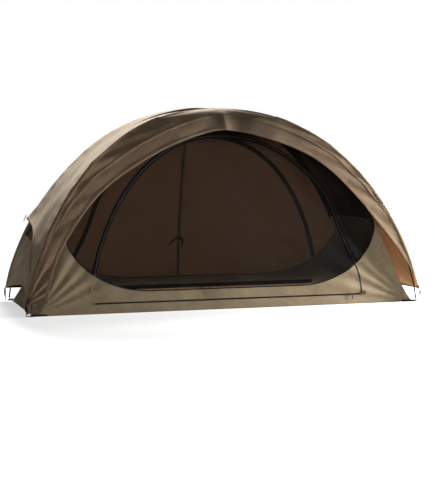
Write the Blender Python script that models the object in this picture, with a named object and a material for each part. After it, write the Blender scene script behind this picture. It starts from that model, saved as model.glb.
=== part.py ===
"""One-person arch tent that pitches on a camp bed or on flat ground.

Two poles cross over the diagonals of a rectangular floor. An inner tent with two D-shaped
doors hangs below them on clips, and a fly lies over them. Metres, +X along the floor, the
open side of the fly faces -Y, +Z is up, and z = 0 is the underside of the floor.
"""
import math

import bmesh
import bpy
from mathutils import Matrix, Vector

# Driving dimensions
FLOOR_LENGTH = 2.05
FLOOR_WIDTH = 0.70
POLE_HEIGHT = 1.008
POLE_RADIUS = 0.0044
POLE_WALL = 0.0007
CLOTH = 0.001
SEAM_GAP = 0.0003
ARCH_POWER_OUT = 2.3
ARCH_POWER_UP = 1.5
POLE_FOOT_OUTSET = 0.014
MITRE = 1.2
WALL_LEAN = 0.7
LOW_ROW_SHARES = (0.0, 0.06, 0.13, 0.24, 0.40, 0.60, 0.80, 1.0)
INNER_HIGH_ROWS = 11
FLY_ROWS = 18

# Pole sections and what is inside them
SECTIONS_PER_POLE = 5
SECTION_STEPS = 4
SPIGOT_LENGTH = 0.045
SPIGOT_CLEARANCE = 0.0003
CORD_RADIUS = 0.0011
CORD_CLEARANCE = 0.0006
ROUND_SIDES = 8
POLE_STACK_GAP = 0.0012
POLE_FOOT_HEIGHT = 0.0245
TIP_COLLAR = 0.0012
TIP_COLLAR_LENGTH = 0.006
TIP_PIN_RADIUS = 0.0028
TIP_PIN_LENGTH = 0.0165

# Crossing hub and clips
HUB_RADIUS = 0.019
HUB_COVER = 0.0022
CLIP_HEIGHT = 0.50
CLIP_LENGTH = 0.016
CLIP_WALL = 0.0022
CLIP_MOUTH = 0.0042
CLIP_TAIL_THICKNESS = 0.0024

# Inner tent
INNER_DROP = 0.018
INNER_TAKE_IN = 0.07
TAKE_IN_HEIGHT = 0.10
FLOOR_THICKNESS = 0.0015
MESH_SILL = 0.105
SILL_HALF_FLAT = 0.40
SILL_CORNER_RUN = 0.445
SILL_CORNER_RISE = 0.34
SILL_SHIFT = 0.02
DOOR_HALF_WIDTH = 0.735
DOOR_TOP = 0.885
DOOR_BOTTOM = 0.05
DOOR_CORNER = 0.05
DOOR_SIDE_POWER = 1.8
DOOR_TOP_POWER = 2.15
DOOR_PULL_IN = 0.033
DOOR_PULL_IN_FROM = 0.12
DOOR_PULL_IN_TO = 0.62
ZIP_WIDTH = 0.026
SLIDER_SIZE = (0.010, 0.008, 0.0030)
SLIDER_END_ROOM = 0.012
DOOR_SLIDER_CLEARANCE = 0.0006
FLY_SLIDER_CLEARANCE = 0.0022
PULL_SIZE = (0.006, 0.024, 0.0014)
PULL_PROUD = 0.0005

# Fly
FLY_CLEARANCE = 0.025
FLY_OUTSET = 0.030
FRONT_HEM_SHAPE = (
    (-0.9346, 0.0000), (-0.9298, 0.0871), (-0.9141, 0.1636), (-0.8790, 0.2662), (-0.8468, 0.3291),
    (-0.7980, 0.4046), (-0.7493, 0.4714), (-0.6907, 0.5402), (-0.6195, 0.6050), (-0.5415, 0.6621),
    (-0.4634, 0.7096), (-0.3854, 0.7531), (-0.2829, 0.8025), (-0.1678, 0.8461), (-0.0907, 0.8703),
    (-0.0341, 0.8829), (0.0176, 0.8877), (0.0683, 0.8838), (0.1210, 0.8751), (0.1951, 0.8567),
    (0.2780, 0.8316), (0.3707, 0.7986), (0.4615, 0.7551), (0.5317, 0.7076), (0.6098, 0.6389),
    (0.6888, 0.5557), (0.7512, 0.4821), (0.8273, 0.3872), (0.8732, 0.3311), (0.9171, 0.2740),
    (0.9659, 0.1994), (1.0078, 0.1210), (1.0166, 0.0644), (1.0166, 0.0000),
)
END_HEM_SHAPE = (
    (-0.9629, 0.0000), (-0.9429, 0.0678), (-0.8914, 0.0803), (-0.7714, 0.1016), (-0.5714, 0.1191),
    (-0.3486, 0.1258), (-0.1029, 0.1229), (0.2371, 0.1084), (0.5914, 0.0900), (0.7771, 0.0813),
    (0.9286, 0.0726), (0.9514, 0.0000),
)
FLY_ZIP_X = -0.09
FLY_ZIP_TOP = 0.86
FLY_ZIP_WIDTH = 0.016

# Corner tabs and tensioners
TAB_WIDTH = 0.030
TAB_BEYOND_EYELET = 0.009
TAB_OVERLAP = 0.030
TAB_THICKNESS = 0.0025
TAB_HEIGHT = 0.0015
TAB_STRIP_LENGTH = 0.075
TAB_STRIP_HEIGHT = 0.010
TAB_STRIP_THICKNESS = 0.0024
EYELET_CLEARANCE = 0.0008
HOOK_GROUND_GAP = 0.0025
HOOK_HEIGHT = 0.016
HOOK_WIDTH = 0.026
HOOK_BAR = 0.0035
HOOK_THICKNESS = 0.0032
HOOK_MOUTH = 0.006
BUCKLE_HEIGHT = 0.026
BUCKLE_WIDTH = 0.030
BUCKLE_THICKNESS = 0.004
BUCKLE_BAR = 0.0038
BUCKLE_SIDE = 0.0035
STRAP_WIDTH = 0.0205
STRAP_THICKNESS = 0.0014
STRAP_RUN = 0.0205
TAIL_SHORTER_BY = 0.006
TENSIONER_GAP = 0.0012

# Sizes that follow from the ones above
DIAGONAL = math.hypot(FLOOR_LENGTH, FLOOR_WIDTH)
HALF_DIAGONAL = DIAGONAL / 2
ALONG = FLOOR_LENGTH / DIAGONAL
ACROSS = FLOOR_WIDTH / DIAGONAL
POLE_REACH = HALF_DIAGONAL + POLE_FOOT_OUTSET
POLE_BORE = POLE_RADIUS - POLE_WALL
SPIGOT_RADIUS = POLE_BORE - SPIGOT_CLEARANCE
CORD_BORE = CORD_RADIUS + CORD_CLEARANCE
POLE_STACK = 2 * POLE_RADIUS + POLE_STACK_GAP
INNER_HEIGHT = POLE_HEIGHT - INNER_DROP
FLY_REACH = POLE_REACH + FLY_OUTSET
FLY_HEIGHT = POLE_HEIGHT + FLY_CLEARANCE
STRAP_BOTTOM = HOOK_GROUND_GAP + HOOK_HEIGHT + SEAM_GAP
BUCKLE_BOTTOM = STRAP_BOTTOM + STRAP_RUN
FLY_HEM = BUCKLE_BOTTOM + BUCKLE_HEIGHT + TENSIONER_GAP
APEX_OPENING = 0.006
WALL_TOP = MESH_SILL + SILL_CORNER_RISE
CORNER_EDGE = MITRE * CLOTH + SEAM_GAP
CUT_ROOM = 0.3

CORNERS = {
    "front_left": (-1, -1),
    "front_right": (1, -1),
    "back_left": (-1, 1),
    "back_right": (1, 1),
}
POLES = {
    "pole_a": (("front_left", "back_right"), 0.0),
    "pole_b": (("back_left", "front_right"), POLE_STACK),
}


def clear_scene():
    for old in list(bpy.data.objects):
        bpy.data.objects.remove(old, do_unlink=True)


def make_material(name, colour, roughness, metallic=0.0):
    material = bpy.data.materials.new(name)
    material.use_nodes = True
    shader = material.node_tree.nodes["Principled BSDF"]
    shader.inputs["Base Color"].default_value = (*colour, 1.0)
    shader.inputs["Roughness"].default_value = roughness
    shader.inputs["Metallic"].default_value = metallic
    return material


def link(name, mesh, material, parent=None):
    thing = bpy.data.objects.new(name, mesh)
    bpy.context.collection.objects.link(thing)
    if material is not None:
        mesh.materials.append(material)
    thing.parent = parent
    return thing


def finish_mesh(bm, name, smooth_angle=math.radians(35)):
    mesh = bpy.data.meshes.new(name)
    bm.to_mesh(mesh)
    bm.free()
    mesh.shade_smooth()
    mesh.set_sharp_from_angle(angle=smooth_angle)
    return mesh


def empty(name, matrix=Matrix.Identity(4), parent=None):
    thing = bpy.data.objects.new(name, None)
    bpy.context.collection.objects.link(thing)
    thing.parent = parent
    thing.matrix_local = matrix
    return thing


def as_cutter(thing):
    thing.hide_render = True
    thing.display_type = "WIRE"
    return thing


def boolean(thing, operand, operation):
    modifier = thing.modifiers.new(operation.lower(), "BOOLEAN")
    modifier.operation = operation
    modifier.solver = "EXACT"
    modifier.object = operand


# Arch profiles: how far out along the floor's diagonal a surface stands at a height

def arch_reach(z, reach, height):
    share = min(max(z, 0.0) / height, 1.0)
    return reach * (1.0 - share ** ARCH_POWER_UP) ** (1.0 / ARCH_POWER_OUT)


def arch_angle(z, height):
    """The angle that stands for a height on an arch: 0 at the ground and a right angle at the apex."""
    return math.asin((z / height) ** (ARCH_POWER_UP / 2))


def arch_height(angle, height):
    return height * math.sin(angle) ** (2.0 / ARCH_POWER_UP)


def inner_reach(z):
    taken_in = INNER_TAKE_IN * (1.0 - math.exp(-max(z, 0.0) / TAKE_IN_HEIGHT))
    return arch_reach(z, HALF_DIAGONAL, INNER_HEIGHT) * (1.0 - taken_in)


def fly_reach(z):
    return arch_reach(z, FLY_REACH, FLY_HEIGHT)


def row_heights(z_low, height, rows):
    """Heights from z_low to just short of the apex, closer together where the arch bends over."""
    low = arch_angle(z_low, height)
    high = math.acos(APEX_OPENING)
    return [arch_height(low + (high - low) * i / rows, height) for i in range(rows + 1)]


def inner_low_rows():
    """Heights from the floor to the top of the cloth wall, closer together where it leans in."""
    low = FLOOR_THICKNESS + SEAM_GAP + WALL_LEAN * CLOTH
    return [low + (WALL_TOP - low) * share for share in LOW_ROW_SHARES]


def inner_high_rows(gap):
    return row_heights(WALL_TOP + gap, INNER_HEIGHT, INNER_HIGH_ROWS)


def arch_panel(name, side, reach_at, heights, columns, material, thickness=CLOTH, edge=0.0, parent=None):
    """One of the four cloth faces between the pole lines, thickened inwards from its outer face."""
    bm = bmesh.new()
    rows = []
    for z in heights:
        half_x = reach_at(z) * ALONG
        half_y = reach_at(z) * ACROSS
        row = []
        for column in range(columns + 1):
            u = -1.0 + 2.0 * column / columns
            if side in ("front", "back"):
                sign = -1.0 if side == "front" else 1.0
                point = (u * (half_x - edge), sign * half_y, z)
            else:
                sign = -1.0 if side == "left" else 1.0
                point = (sign * half_x, u * (half_y - edge), z)
            row.append(bm.verts.new(point))
        rows.append(row)
    flip = side in ("back", "left")
    for low, high in zip(rows, rows[1:]):
        for i in range(columns):
            corners = [low[i], low[i + 1], high[i + 1], high[i]]
            if flip:
                corners.reverse()
            bm.faces.new(corners)
    thing = link(name, finish_mesh(bm, name), material, parent)
    solidify = thing.modifiers.new("thickness", "SOLIDIFY")
    solidify.thickness = thickness
    solidify.offset = -1.0
    return thing


def prism(name, outline, axis, low, high):
    """A cutter with a flat outline in XZ (axis Y) or YZ (axis X), from low to high along the axis."""
    bm = bmesh.new()
    ends = []
    for level in (low, high):
        if axis == "Y":
            ends.append([bm.verts.new((a, level, b)) for a, b in outline])
        else:
            ends.append([bm.verts.new((level, a, b)) for a, b in outline])
    bm.faces.new(ends[0])
    bm.faces.new(list(reversed(ends[1])))
    count = len(outline)
    for i in range(count):
        j = (i + 1) % count
        bm.faces.new([ends[0][j], ends[0][i], ends[1][i], ends[1][j]])
    bmesh.ops.recalc_face_normals(bm, faces=bm.faces)
    return as_cutter(link(name, finish_mesh(bm, name), None))


def offset_outline(points, distance):
    """Moves each point of a closed outline outwards by distance; the outline runs anticlockwise."""
    moved = []
    count = len(points)
    for i, (a, b) in enumerate(points):
        before = points[i - 1]
        after = points[(i + 1) % count]
        run = Vector((after[0] - before[0], after[1] - before[1])).normalized()
        moved.append((a + run.y * distance, b - run.x * distance))
    return moved


def box_mesh(name, size, centre=(0, 0, 0)):
    bm = bmesh.new()
    bmesh.ops.create_cube(bm, size=1.0)
    bmesh.ops.scale(bm, vec=size, verts=bm.verts)
    bmesh.ops.translate(bm, vec=centre, verts=bm.verts)
    return finish_mesh(bm, name)


def plate_mesh(name, outline, low, high):
    """A flat plate whose outline lies in XY."""
    bm = bmesh.new()
    face = bm.faces.new([bm.verts.new((a, b, low)) for a, b in outline])
    result = bmesh.ops.extrude_face_region(bm, geom=[face])
    raised = [item for item in result["geom"] if isinstance(item, bmesh.types.BMVert)]
    bmesh.ops.translate(bm, vec=(0, 0, high - low), verts=raised)
    bmesh.ops.recalc_face_normals(bm, faces=bm.faces)
    return finish_mesh(bm, name)


# The poles' centre line

class PoleLine:
    """A pole's centre line, measured by its length from the foot where the tip's collar sits."""

    def __init__(self, start, lift):
        self.direction = Vector((-start[0] * ALONG, -start[1] * ACROSS, 0.0))
        self.height = POLE_HEIGHT + lift
        fine = 2000
        low = arch_angle(POLE_FOOT_HEIGHT, self.height)
        self.points = []
        for i in range(fine + 1):
            angle = low + (math.pi - 2 * low) * i / fine
            z = arch_height(min(angle, math.pi - angle), self.height)
            out = POLE_REACH * abs(math.cos(angle)) ** (2.0 / ARCH_POWER_OUT)
            self.points.append((-out if angle < math.pi / 2 else out, z))
        self.lengths = [0.0]
        for before, after in zip(self.points, self.points[1:]):
            step = math.hypot(after[0] - before[0], after[1] - before[1])
            self.lengths.append(self.lengths[-1] + step)
        self.total = self.lengths[-1]

    def flat(self, length):
        if length <= 0.0:
            return self.points[0][0], self.points[0][1] + length
        if length >= self.total:
            return self.points[-1][0], self.points[-1][1] - (length - self.total)
        low, high = 0, len(self.lengths) - 1
        while high - low > 1:
            middle = (low + high) // 2
            if self.lengths[middle] <= length:
                low = middle
            else:
                high = middle
        share = (length - self.lengths[low]) / (self.lengths[high] - self.lengths[low])
        before, after = self.points[low], self.points[high]
        return (before[0] + (after[0] - before[0]) * share, before[1] + (after[1] - before[1]) * share)

    def frame(self, length):
        small = 0.002
        s, z = self.flat(length)
        before = self.flat(length - small)
        after = self.flat(length + small)
        run = Vector((after[0] - before[0], after[1] - before[1])).normalized()
        centre = self.direction * s + Vector((0, 0, z))
        tangent = self.direction * run.x + Vector((0, 0, run.y))
        sideways = Vector((0, 0, 1)).cross(self.direction)
        normal = sideways.cross(tangent) * -1.0
        return centre, tangent, normal, sideways

    def length_at_height(self, z, far_half=False):
        for (s, height), length in zip(self.points, self.lengths):
            if height >= z:
                return self.total - length if far_half else length
        return self.total / 2


def sweep(name, line, profile, material, closed, sides=ROUND_SIDES, parent=None):
    """Turns a list of (length along the line, radius) round a pole's centre line."""
    bm = bmesh.new()
    rings = []
    for length, radius in profile:
        centre, _, normal, sideways = line.frame(length)
        ring = []
        for k in range(sides):
            angle = 2 * math.pi * (k + 0.5) / sides
            ring.append(bm.verts.new(centre + (normal * math.cos(angle) + sideways * math.sin(angle)) * radius))
        rings.append(ring)
    pairs = list(zip(rings, rings[1:]))
    if closed:
        pairs.append((rings[-1], rings[0]))
    for before, after in pairs:
        for k in range(sides):
            j = (k + 1) % sides
            bm.faces.new([before[k], before[j], after[j], after[k]])
    if not closed:
        bm.faces.new(list(reversed(rings[0])))
        bm.faces.new(rings[-1])
    bmesh.ops.recalc_face_normals(bm, faces=bm.faces)
    return link(name, finish_mesh(bm, name), material, parent)


def section_stations(line, index):
    """The lengths along a pole at which one section has a ring, from its start to its end."""
    pitch = line.total / SECTIONS_PER_POLE
    start = index * pitch
    end = start + pitch
    plug_end = start + SPIGOT_LENGTH
    run = end - SPIGOT_LENGTH - plug_end
    return [start] + [plug_end + run * i / SECTION_STEPS for i in range(SECTION_STEPS + 1)] + [end]


def pole_stations(line):
    lengths = [0.0]
    for index in range(SECTIONS_PER_POLE):
        lengths += section_stations(line, index)[1:]
    return lengths


def make_pole_section(name, line, index, material):
    stations = section_stations(line, index)
    start = stations[0]
    first = index == 0
    joint = SEAM_GAP
    outer = [(length, POLE_RADIUS) for length in stations]
    bore = [(length, POLE_BORE) for length in reversed(stations)]
    if first:
        profile = outer + bore
    else:
        # The spigot is a plug glued into this section's start, and it slides into the one before
        outer[0] = (start + joint, POLE_RADIUS)
        plug_end = start - SPIGOT_LENGTH + joint
        profile = [(plug_end, SPIGOT_RADIUS), (start + joint, SPIGOT_RADIUS)] + outer + bore[:-1]
        profile += [(stations[1], CORD_BORE), (start + joint, CORD_BORE), (plug_end, CORD_BORE)]
    return sweep(name, line, profile, material, closed=True)


def make_pole_tip(name, line, at_start, material):
    """A collar that stops the tube, a stem inside it and a pin for the corner's eyelet."""
    end = 0.0 if at_start else line.total
    sign = 1.0 if at_start else -1.0
    stem = SPIGOT_LENGTH
    profile = [
        (stem, SPIGOT_RADIUS),
        (-SEAM_GAP, SPIGOT_RADIUS),
        (-SEAM_GAP, POLE_RADIUS + TIP_COLLAR),
        (-SEAM_GAP - TIP_COLLAR_LENGTH, POLE_RADIUS + TIP_COLLAR),
        (-SEAM_GAP - TIP_COLLAR_LENGTH, TIP_PIN_RADIUS),
        (-TIP_COLLAR_LENGTH - TIP_PIN_LENGTH, TIP_PIN_RADIUS),
    ]
    placed = [(end + sign * length, radius) for length, radius in profile]
    return sweep(name, line, placed, material, closed=False)


def make_shock_cord(name, line, material):
    stem = SPIGOT_LENGTH + SPIGOT_CLEARANCE
    within = [length for length in pole_stations(line) if stem < length < line.total - stem]
    profile = [(length, CORD_RADIUS) for length in [stem] + within + [line.total - stem]]
    return sweep(name, line, profile, material, closed=False)


def make_poles(metal, tip_plastic, elastic):
    lines = {}
    for pole, (ends, lift) in POLES.items():
        line = PoleLine(CORNERS[ends[0]], lift)
        lines[pole] = line
        for index in range(SECTIONS_PER_POLE):
            make_pole_section(f"{pole}_section_{index + 1}", line, index, metal)
        make_pole_tip(f"pole_tip_{ends[0]}", line, True, tip_plastic)
        make_pole_tip(f"pole_tip_{ends[1]}", line, False, tip_plastic)
        make_shock_cord(f"{pole}_shock_cord", line, elastic)
    return lines


def pole_cutter(name, line, extra):
    """The whole pole's outside grown by a clearance, with the rings that its sections have."""
    profile = [(length, POLE_RADIUS + extra) for length in pole_stations(line)]
    return as_cutter(sweep(name, line, profile, None, closed=False))


def make_crossing_hub(lines, material):
    low = POLE_HEIGHT - POLE_RADIUS - HUB_COVER
    high = POLE_HEIGHT + POLE_STACK + POLE_RADIUS + HUB_COVER
    outline = []
    for k in range(12):
        angle = 2 * math.pi * k / 12
        outline.append((HUB_RADIUS * math.cos(angle), HUB_RADIUS * math.sin(angle)))
    hub = link("crossing_hub", plate_mesh("crossing_hub", outline, low, high), material)
    for pole, line in lines.items():
        boolean(hub, pole_cutter(f"cut_hub_{pole}", line, SEAM_GAP), "DIFFERENCE")
    return hub


def make_clip(name, line, far_half, material):
    """A C-shaped clip round the pole with a tail that reaches in to the inner tent's seam."""
    length = line.length_at_height(CLIP_HEIGHT, far_half)
    centre, tangent, normal, sideways = line.frame(length)
    if normal.dot(Vector((centre.x, centre.y, 0.0))) < 0:
        normal = -normal
    reach_pole = Vector((centre.x, centre.y)).length
    outer = POLE_RADIUS + SEAM_GAP + CLIP_WALL
    level = Vector((centre.x, centre.y, 0.0)).normalized()
    inner_at = inner_reach(centre.z) + SEAM_GAP + CLOTH
    place = Matrix.Identity(4)
    place.col[0].xyz = level
    place.col[1].xyz = Vector((0, 0, 1)).cross(level)
    place.col[2].xyz = Vector((0, 0, 1))
    place.col[3].xyz = Vector((centre.x, centre.y, centre.z))
    bm = bmesh.new()
    bmesh.ops.create_cone(bm, cap_ends=True, segments=12, radius1=outer, radius2=outer, depth=CLIP_LENGTH)
    turn = Matrix.Identity(4)
    turn.col[0].xyz = normal
    turn.col[1].xyz = sideways
    turn.col[2].xyz = normal.cross(sideways)
    turn.col[3].xyz = centre
    bmesh.ops.transform(bm, matrix=turn, verts=bm.verts)
    bmesh.ops.recalc_face_normals(bm, faces=bm.faces)
    clip = link(name, finish_mesh(bm, name), material)
    tail_length = reach_pole - inner_at
    tail_size = (tail_length, CLIP_TAIL_THICKNESS * 3, CLIP_TAIL_THICKNESS)
    tail = link(f"tail_{name}", box_mesh(f"tail_{name}", tail_size, (-tail_length / 2, 0, 0)), None)
    tail.matrix_world = place
    boolean(clip, as_cutter(tail), "UNION")
    boolean(clip, pole_cutter(f"cut_{name}", line, SEAM_GAP), "DIFFERENCE")
    mouth_size = (2 * outer, CLIP_MOUTH, CLIP_LENGTH * 2)
    mouth = link(f"mouth_{name}", box_mesh(f"mouth_{name}", mouth_size, (outer, 0, 0)), None)
    mouth.matrix_world = turn
    boolean(clip, as_cutter(mouth), "DIFFERENCE")
    return clip


# Inner tent

def door_outline(offset, mirrored):
    """The D-shaped door's outline in XZ, anticlockwise seen from -Y, moved outwards by offset.

    The side where the zip closes is pulled in a little; mirrored puts that side at -X.
    """
    def half_width(z):
        share = (z / DOOR_TOP) ** DOOR_SIDE_POWER
        return DOOR_HALF_WIDTH * max(0.0, 1.0 - share) ** (1.0 / DOOR_TOP_POWER)

    def pulled_in(z):
        share = (z - DOOR_PULL_IN_FROM) / (DOOR_PULL_IN_TO - DOOR_PULL_IN_FROM)
        return DOOR_PULL_IN * math.sin(math.pi * share) ** 2 if 0.0 < share < 1.0 else 0.0

    corner_z = DOOR_BOTTOM + DOOR_CORNER
    corner_x = half_width(corner_z) - DOOR_CORNER
    right = []
    arc_steps = 4
    for i in range(arc_steps + 1):
        angle = -math.pi / 2 + (math.pi / 2) * i / arc_steps
        right.append((corner_x + DOOR_CORNER * math.cos(angle), corner_z + DOOR_CORNER * math.sin(angle)))
    side_steps = 14
    low = math.asin((corner_z / DOOR_TOP) ** (DOOR_SIDE_POWER / 2))
    for i in range(1, side_steps):
        angle = low + (math.pi / 2 - low) * i / side_steps
        z = DOOR_TOP * math.sin(angle) ** (2 / DOOR_SIDE_POWER)
        right.append((half_width(z), z))
    left = [(-x, z) for x, z in reversed(right)]
    right = [(x - pulled_in(z), z) for x, z in right]
    points = right + [(0.0, DOOR_TOP)] + left
    if mirrored:
        points = [(-x, z) for x, z in reversed(points)]
    return offset_outline(points, offset)


def sill_outline(gap, shift):
    """The area below the line where the cloth wall ends and the mesh begins, grown upwards by gap."""
    top = WALL_TOP
    steps = 8
    right = []
    for i in range(steps + 1):
        angle = (math.pi / 2) * i / steps
        x = SILL_HALF_FLAT + (SILL_CORNER_RUN - gap) * math.sin(angle)
        right.append((x, top + gap - SILL_CORNER_RISE * math.cos(angle)))
    far = FLOOR_LENGTH / 2 + CUT_ROOM
    low = -CUT_ROOM
    edge = [(far, top + gap), (far, low), (-far, low), (-far, top + gap)]
    left = [(-x, z) for x, z in reversed(right)]
    curve = [[(x + shift, z) for x, z in part] for part in (right, left)]
    return list(reversed(curve[0] + edge + curve[1]))


def make_inner(side, cloth, mesh_cloth, zip_tape):
    """The front or back face: cloth wall, mesh, zip, door and door foot, cut from one curved face."""
    sign = -1.0 if side == "front" else 1.0
    heights = inner_low_rows() + inner_high_rows(0.0)[1:]
    near, far = sorted((sign * (FLOOR_WIDTH / 2 + CUT_ROOM), sign * 0.03))
    half_zip = ZIP_WIDTH / 2
    shift = sign * SILL_SHIFT

    def door_prism(name, offset):
        return prism(name, door_outline(offset, side == "back"), "Y", near, far)

    def face(name, material, parent=None, thickness=CLOTH):
        return arch_panel(name, side, inner_reach, heights, 6, material, thickness, CORNER_EDGE, parent)

    below = prism(f"cut_{side}_below_sill", sill_outline(0.0, shift), "Y", near, far)
    below_gap = prism(f"cut_{side}_to_mesh", sill_outline(SEAM_GAP, shift), "Y", near, far)
    around_zip = door_prism(f"cut_{side}_zip_outside", half_zip + SEAM_GAP)
    zip_outside = door_prism(f"cut_{side}_zip", half_zip)
    zip_inside = door_prism(f"cut_{side}_zip_inside", -half_zip)
    door_edge = door_prism(f"cut_{side}_door", -half_zip - SEAM_GAP)

    wall = face(f"{side}_wall", cloth)
    boolean(wall, below, "INTERSECT")
    boolean(wall, around_zip, "DIFFERENCE")
    net = face(f"{side}_mesh", mesh_cloth)
    boolean(net, below_gap, "DIFFERENCE")
    boolean(net, around_zip, "DIFFERENCE")
    tape = face(f"{side}_door_zip", zip_tape)
    boolean(tape, zip_outside, "INTERSECT")
    boolean(tape, zip_inside, "DIFFERENCE")
    drop = empty(f"{side}_door_drop")
    door = face(f"{side}_door", mesh_cloth, drop)
    boolean(door, door_edge, "INTERSECT")
    boolean(door, below_gap, "DIFFERENCE")
    foot = face(f"{side}_door_foot", cloth)
    boolean(foot, door_edge, "INTERSECT")
    boolean(foot, below, "INTERSECT")


def surface_frame(side, x, z, reach_at):
    """A frame on the front or back face: x along the face, y up it, z out of it."""
    sign = -1.0 if side == "front" else 1.0
    small = 0.002
    y_low = sign * reach_at(z - small) * ACROSS
    y_high = sign * reach_at(z + small) * ACROSS
    up = Vector((0.0, y_high - y_low, 2 * small)).normalized()
    along = Vector((-sign, 0.0, 0.0))
    out = along.cross(up)
    matrix = Matrix.Identity(4)
    matrix.col[0].xyz = along
    matrix.col[1].xyz = up
    matrix.col[2].xyz = out
    matrix.col[3].xyz = Vector((x, sign * reach_at(z) * ACROSS, z))
    return matrix


def make_slider(name, side, x, z, reach_at, clearance, material):
    """A zip slider with its pull hanging below it."""
    width, height, depth = SLIDER_SIZE
    slider = link(name, box_mesh(name, SLIDER_SIZE, (0, 0, clearance + depth / 2)), material)
    slider.matrix_world = surface_frame(side, x, z, reach_at)
    pull_width, pull_length, pull_depth = PULL_SIZE
    overlap = height / 4
    centre = (0, -height / 2 - pull_length / 2 + overlap, clearance + depth + PULL_PROUD - pull_depth / 2)
    pull = link(f"pull_{name}", box_mesh(f"pull_{name}", PULL_SIZE, centre), None)
    pull.matrix_world = slider.matrix_world.copy()
    boolean(slider, as_cutter(pull), "UNION")
    bevel = slider.modifiers.new("edges", "BEVEL")
    bevel.width = 0.0003
    bevel.segments = 1
    return slider


def make_ends(side, cloth, mesh_cloth):
    """The end face: a cloth wall below and mesh above it."""
    arch_panel(f"{side}_wall", side, inner_reach, inner_low_rows(), 3, cloth, edge=SEAM_GAP)
    arch_panel(f"{side}_mesh", side, inner_reach, inner_high_rows(SEAM_GAP), 3, mesh_cloth, edge=SEAM_GAP)


def make_floor(material):
    size = (FLOOR_LENGTH, FLOOR_WIDTH, FLOOR_THICKNESS)
    return link("floor", box_mesh("floor", size, (0, 0, FLOOR_THICKNESS / 2)), material)


def make_corner_tab(corner, webbing):
    """Webbing at the floor's corner: a plate with an eyelet for the tip, and a strip along the edge."""
    sx, sy = CORNERS[corner]
    name = f"corner_tab_{corner}"
    out = Vector((sx * ALONG, sy * ACROSS))
    wide = Vector((-out.y, out.x))
    foot_reach = arch_reach(POLE_FOOT_HEIGHT, POLE_REACH, POLE_HEIGHT)
    start = out * (HALF_DIAGONAL - TAB_OVERLAP)
    end = out * (foot_reach + TAB_BEYOND_EYELET)
    half = wide * (TAB_WIDTH / 2)
    outline = [start - half, end - half, end + half, start + half]
    low = TAB_HEIGHT
    high = TAB_HEIGHT + TAB_THICKNESS
    tab = link(name, plate_mesh(name, [tuple(p) for p in outline], low, high), webbing)
    room = link(f"cut_{name}", box_mesh(f"cut_{name}",
                (FLOOR_LENGTH + 2 * SEAM_GAP, FLOOR_WIDTH + 2 * SEAM_GAP, CUT_ROOM)), None)
    boolean(tab, as_cutter(room), "DIFFERENCE")
    edge_y = FLOOR_WIDTH / 2 + SEAM_GAP
    strip_size = (TAB_STRIP_LENGTH, TAB_STRIP_THICKNESS, TAB_STRIP_HEIGHT)
    overlap = 0.008
    strip_centre = (
        sx * (FLOOR_LENGTH / 2 + overlap - TAB_STRIP_LENGTH / 2),
        sy * (edge_y + TAB_STRIP_THICKNESS / 2),
        TAB_STRIP_HEIGHT / 2,
    )
    strip = link(f"strip_{name}", box_mesh(f"strip_{name}", strip_size, strip_centre), None)
    boolean(tab, as_cutter(strip), "UNION")
    eye = out * foot_reach
    bm = bmesh.new()
    radius = TIP_PIN_RADIUS + EYELET_CLEARANCE
    bmesh.ops.create_cone(bm, cap_ends=True, segments=12, radius1=radius, radius2=radius, depth=CUT_ROOM)
    hole = link(f"eye_{name}", finish_mesh(bm, f"eye_{name}"), None)
    hole.location = (eye.x, eye.y, 0.0)
    boolean(tab, as_cutter(hole), "DIFFERENCE")
    return tab


# Fly

def below_hem(shape, half_floor):
    """The area below a hem whose shape is given in shares of half the floor and of the fly's height."""
    hem = [(along * half_floor, up * FLY_HEIGHT) for along, up in shape]
    return [(hem[0][0], -CUT_ROOM), (hem[-1][0], -CUT_ROOM)] + list(reversed(hem))


def front_hem_outline():
    """The area below the front panel's arched hem, which runs out to the pole line at the right foot."""
    return below_hem(FRONT_HEM_SHAPE, FLOOR_LENGTH / 2)


def end_hem_outline():
    """The area below the left panel's hem, which is a low arch from foot to foot."""
    return below_hem(END_HEM_SHAPE, FLOOR_WIDTH / 2)


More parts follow.
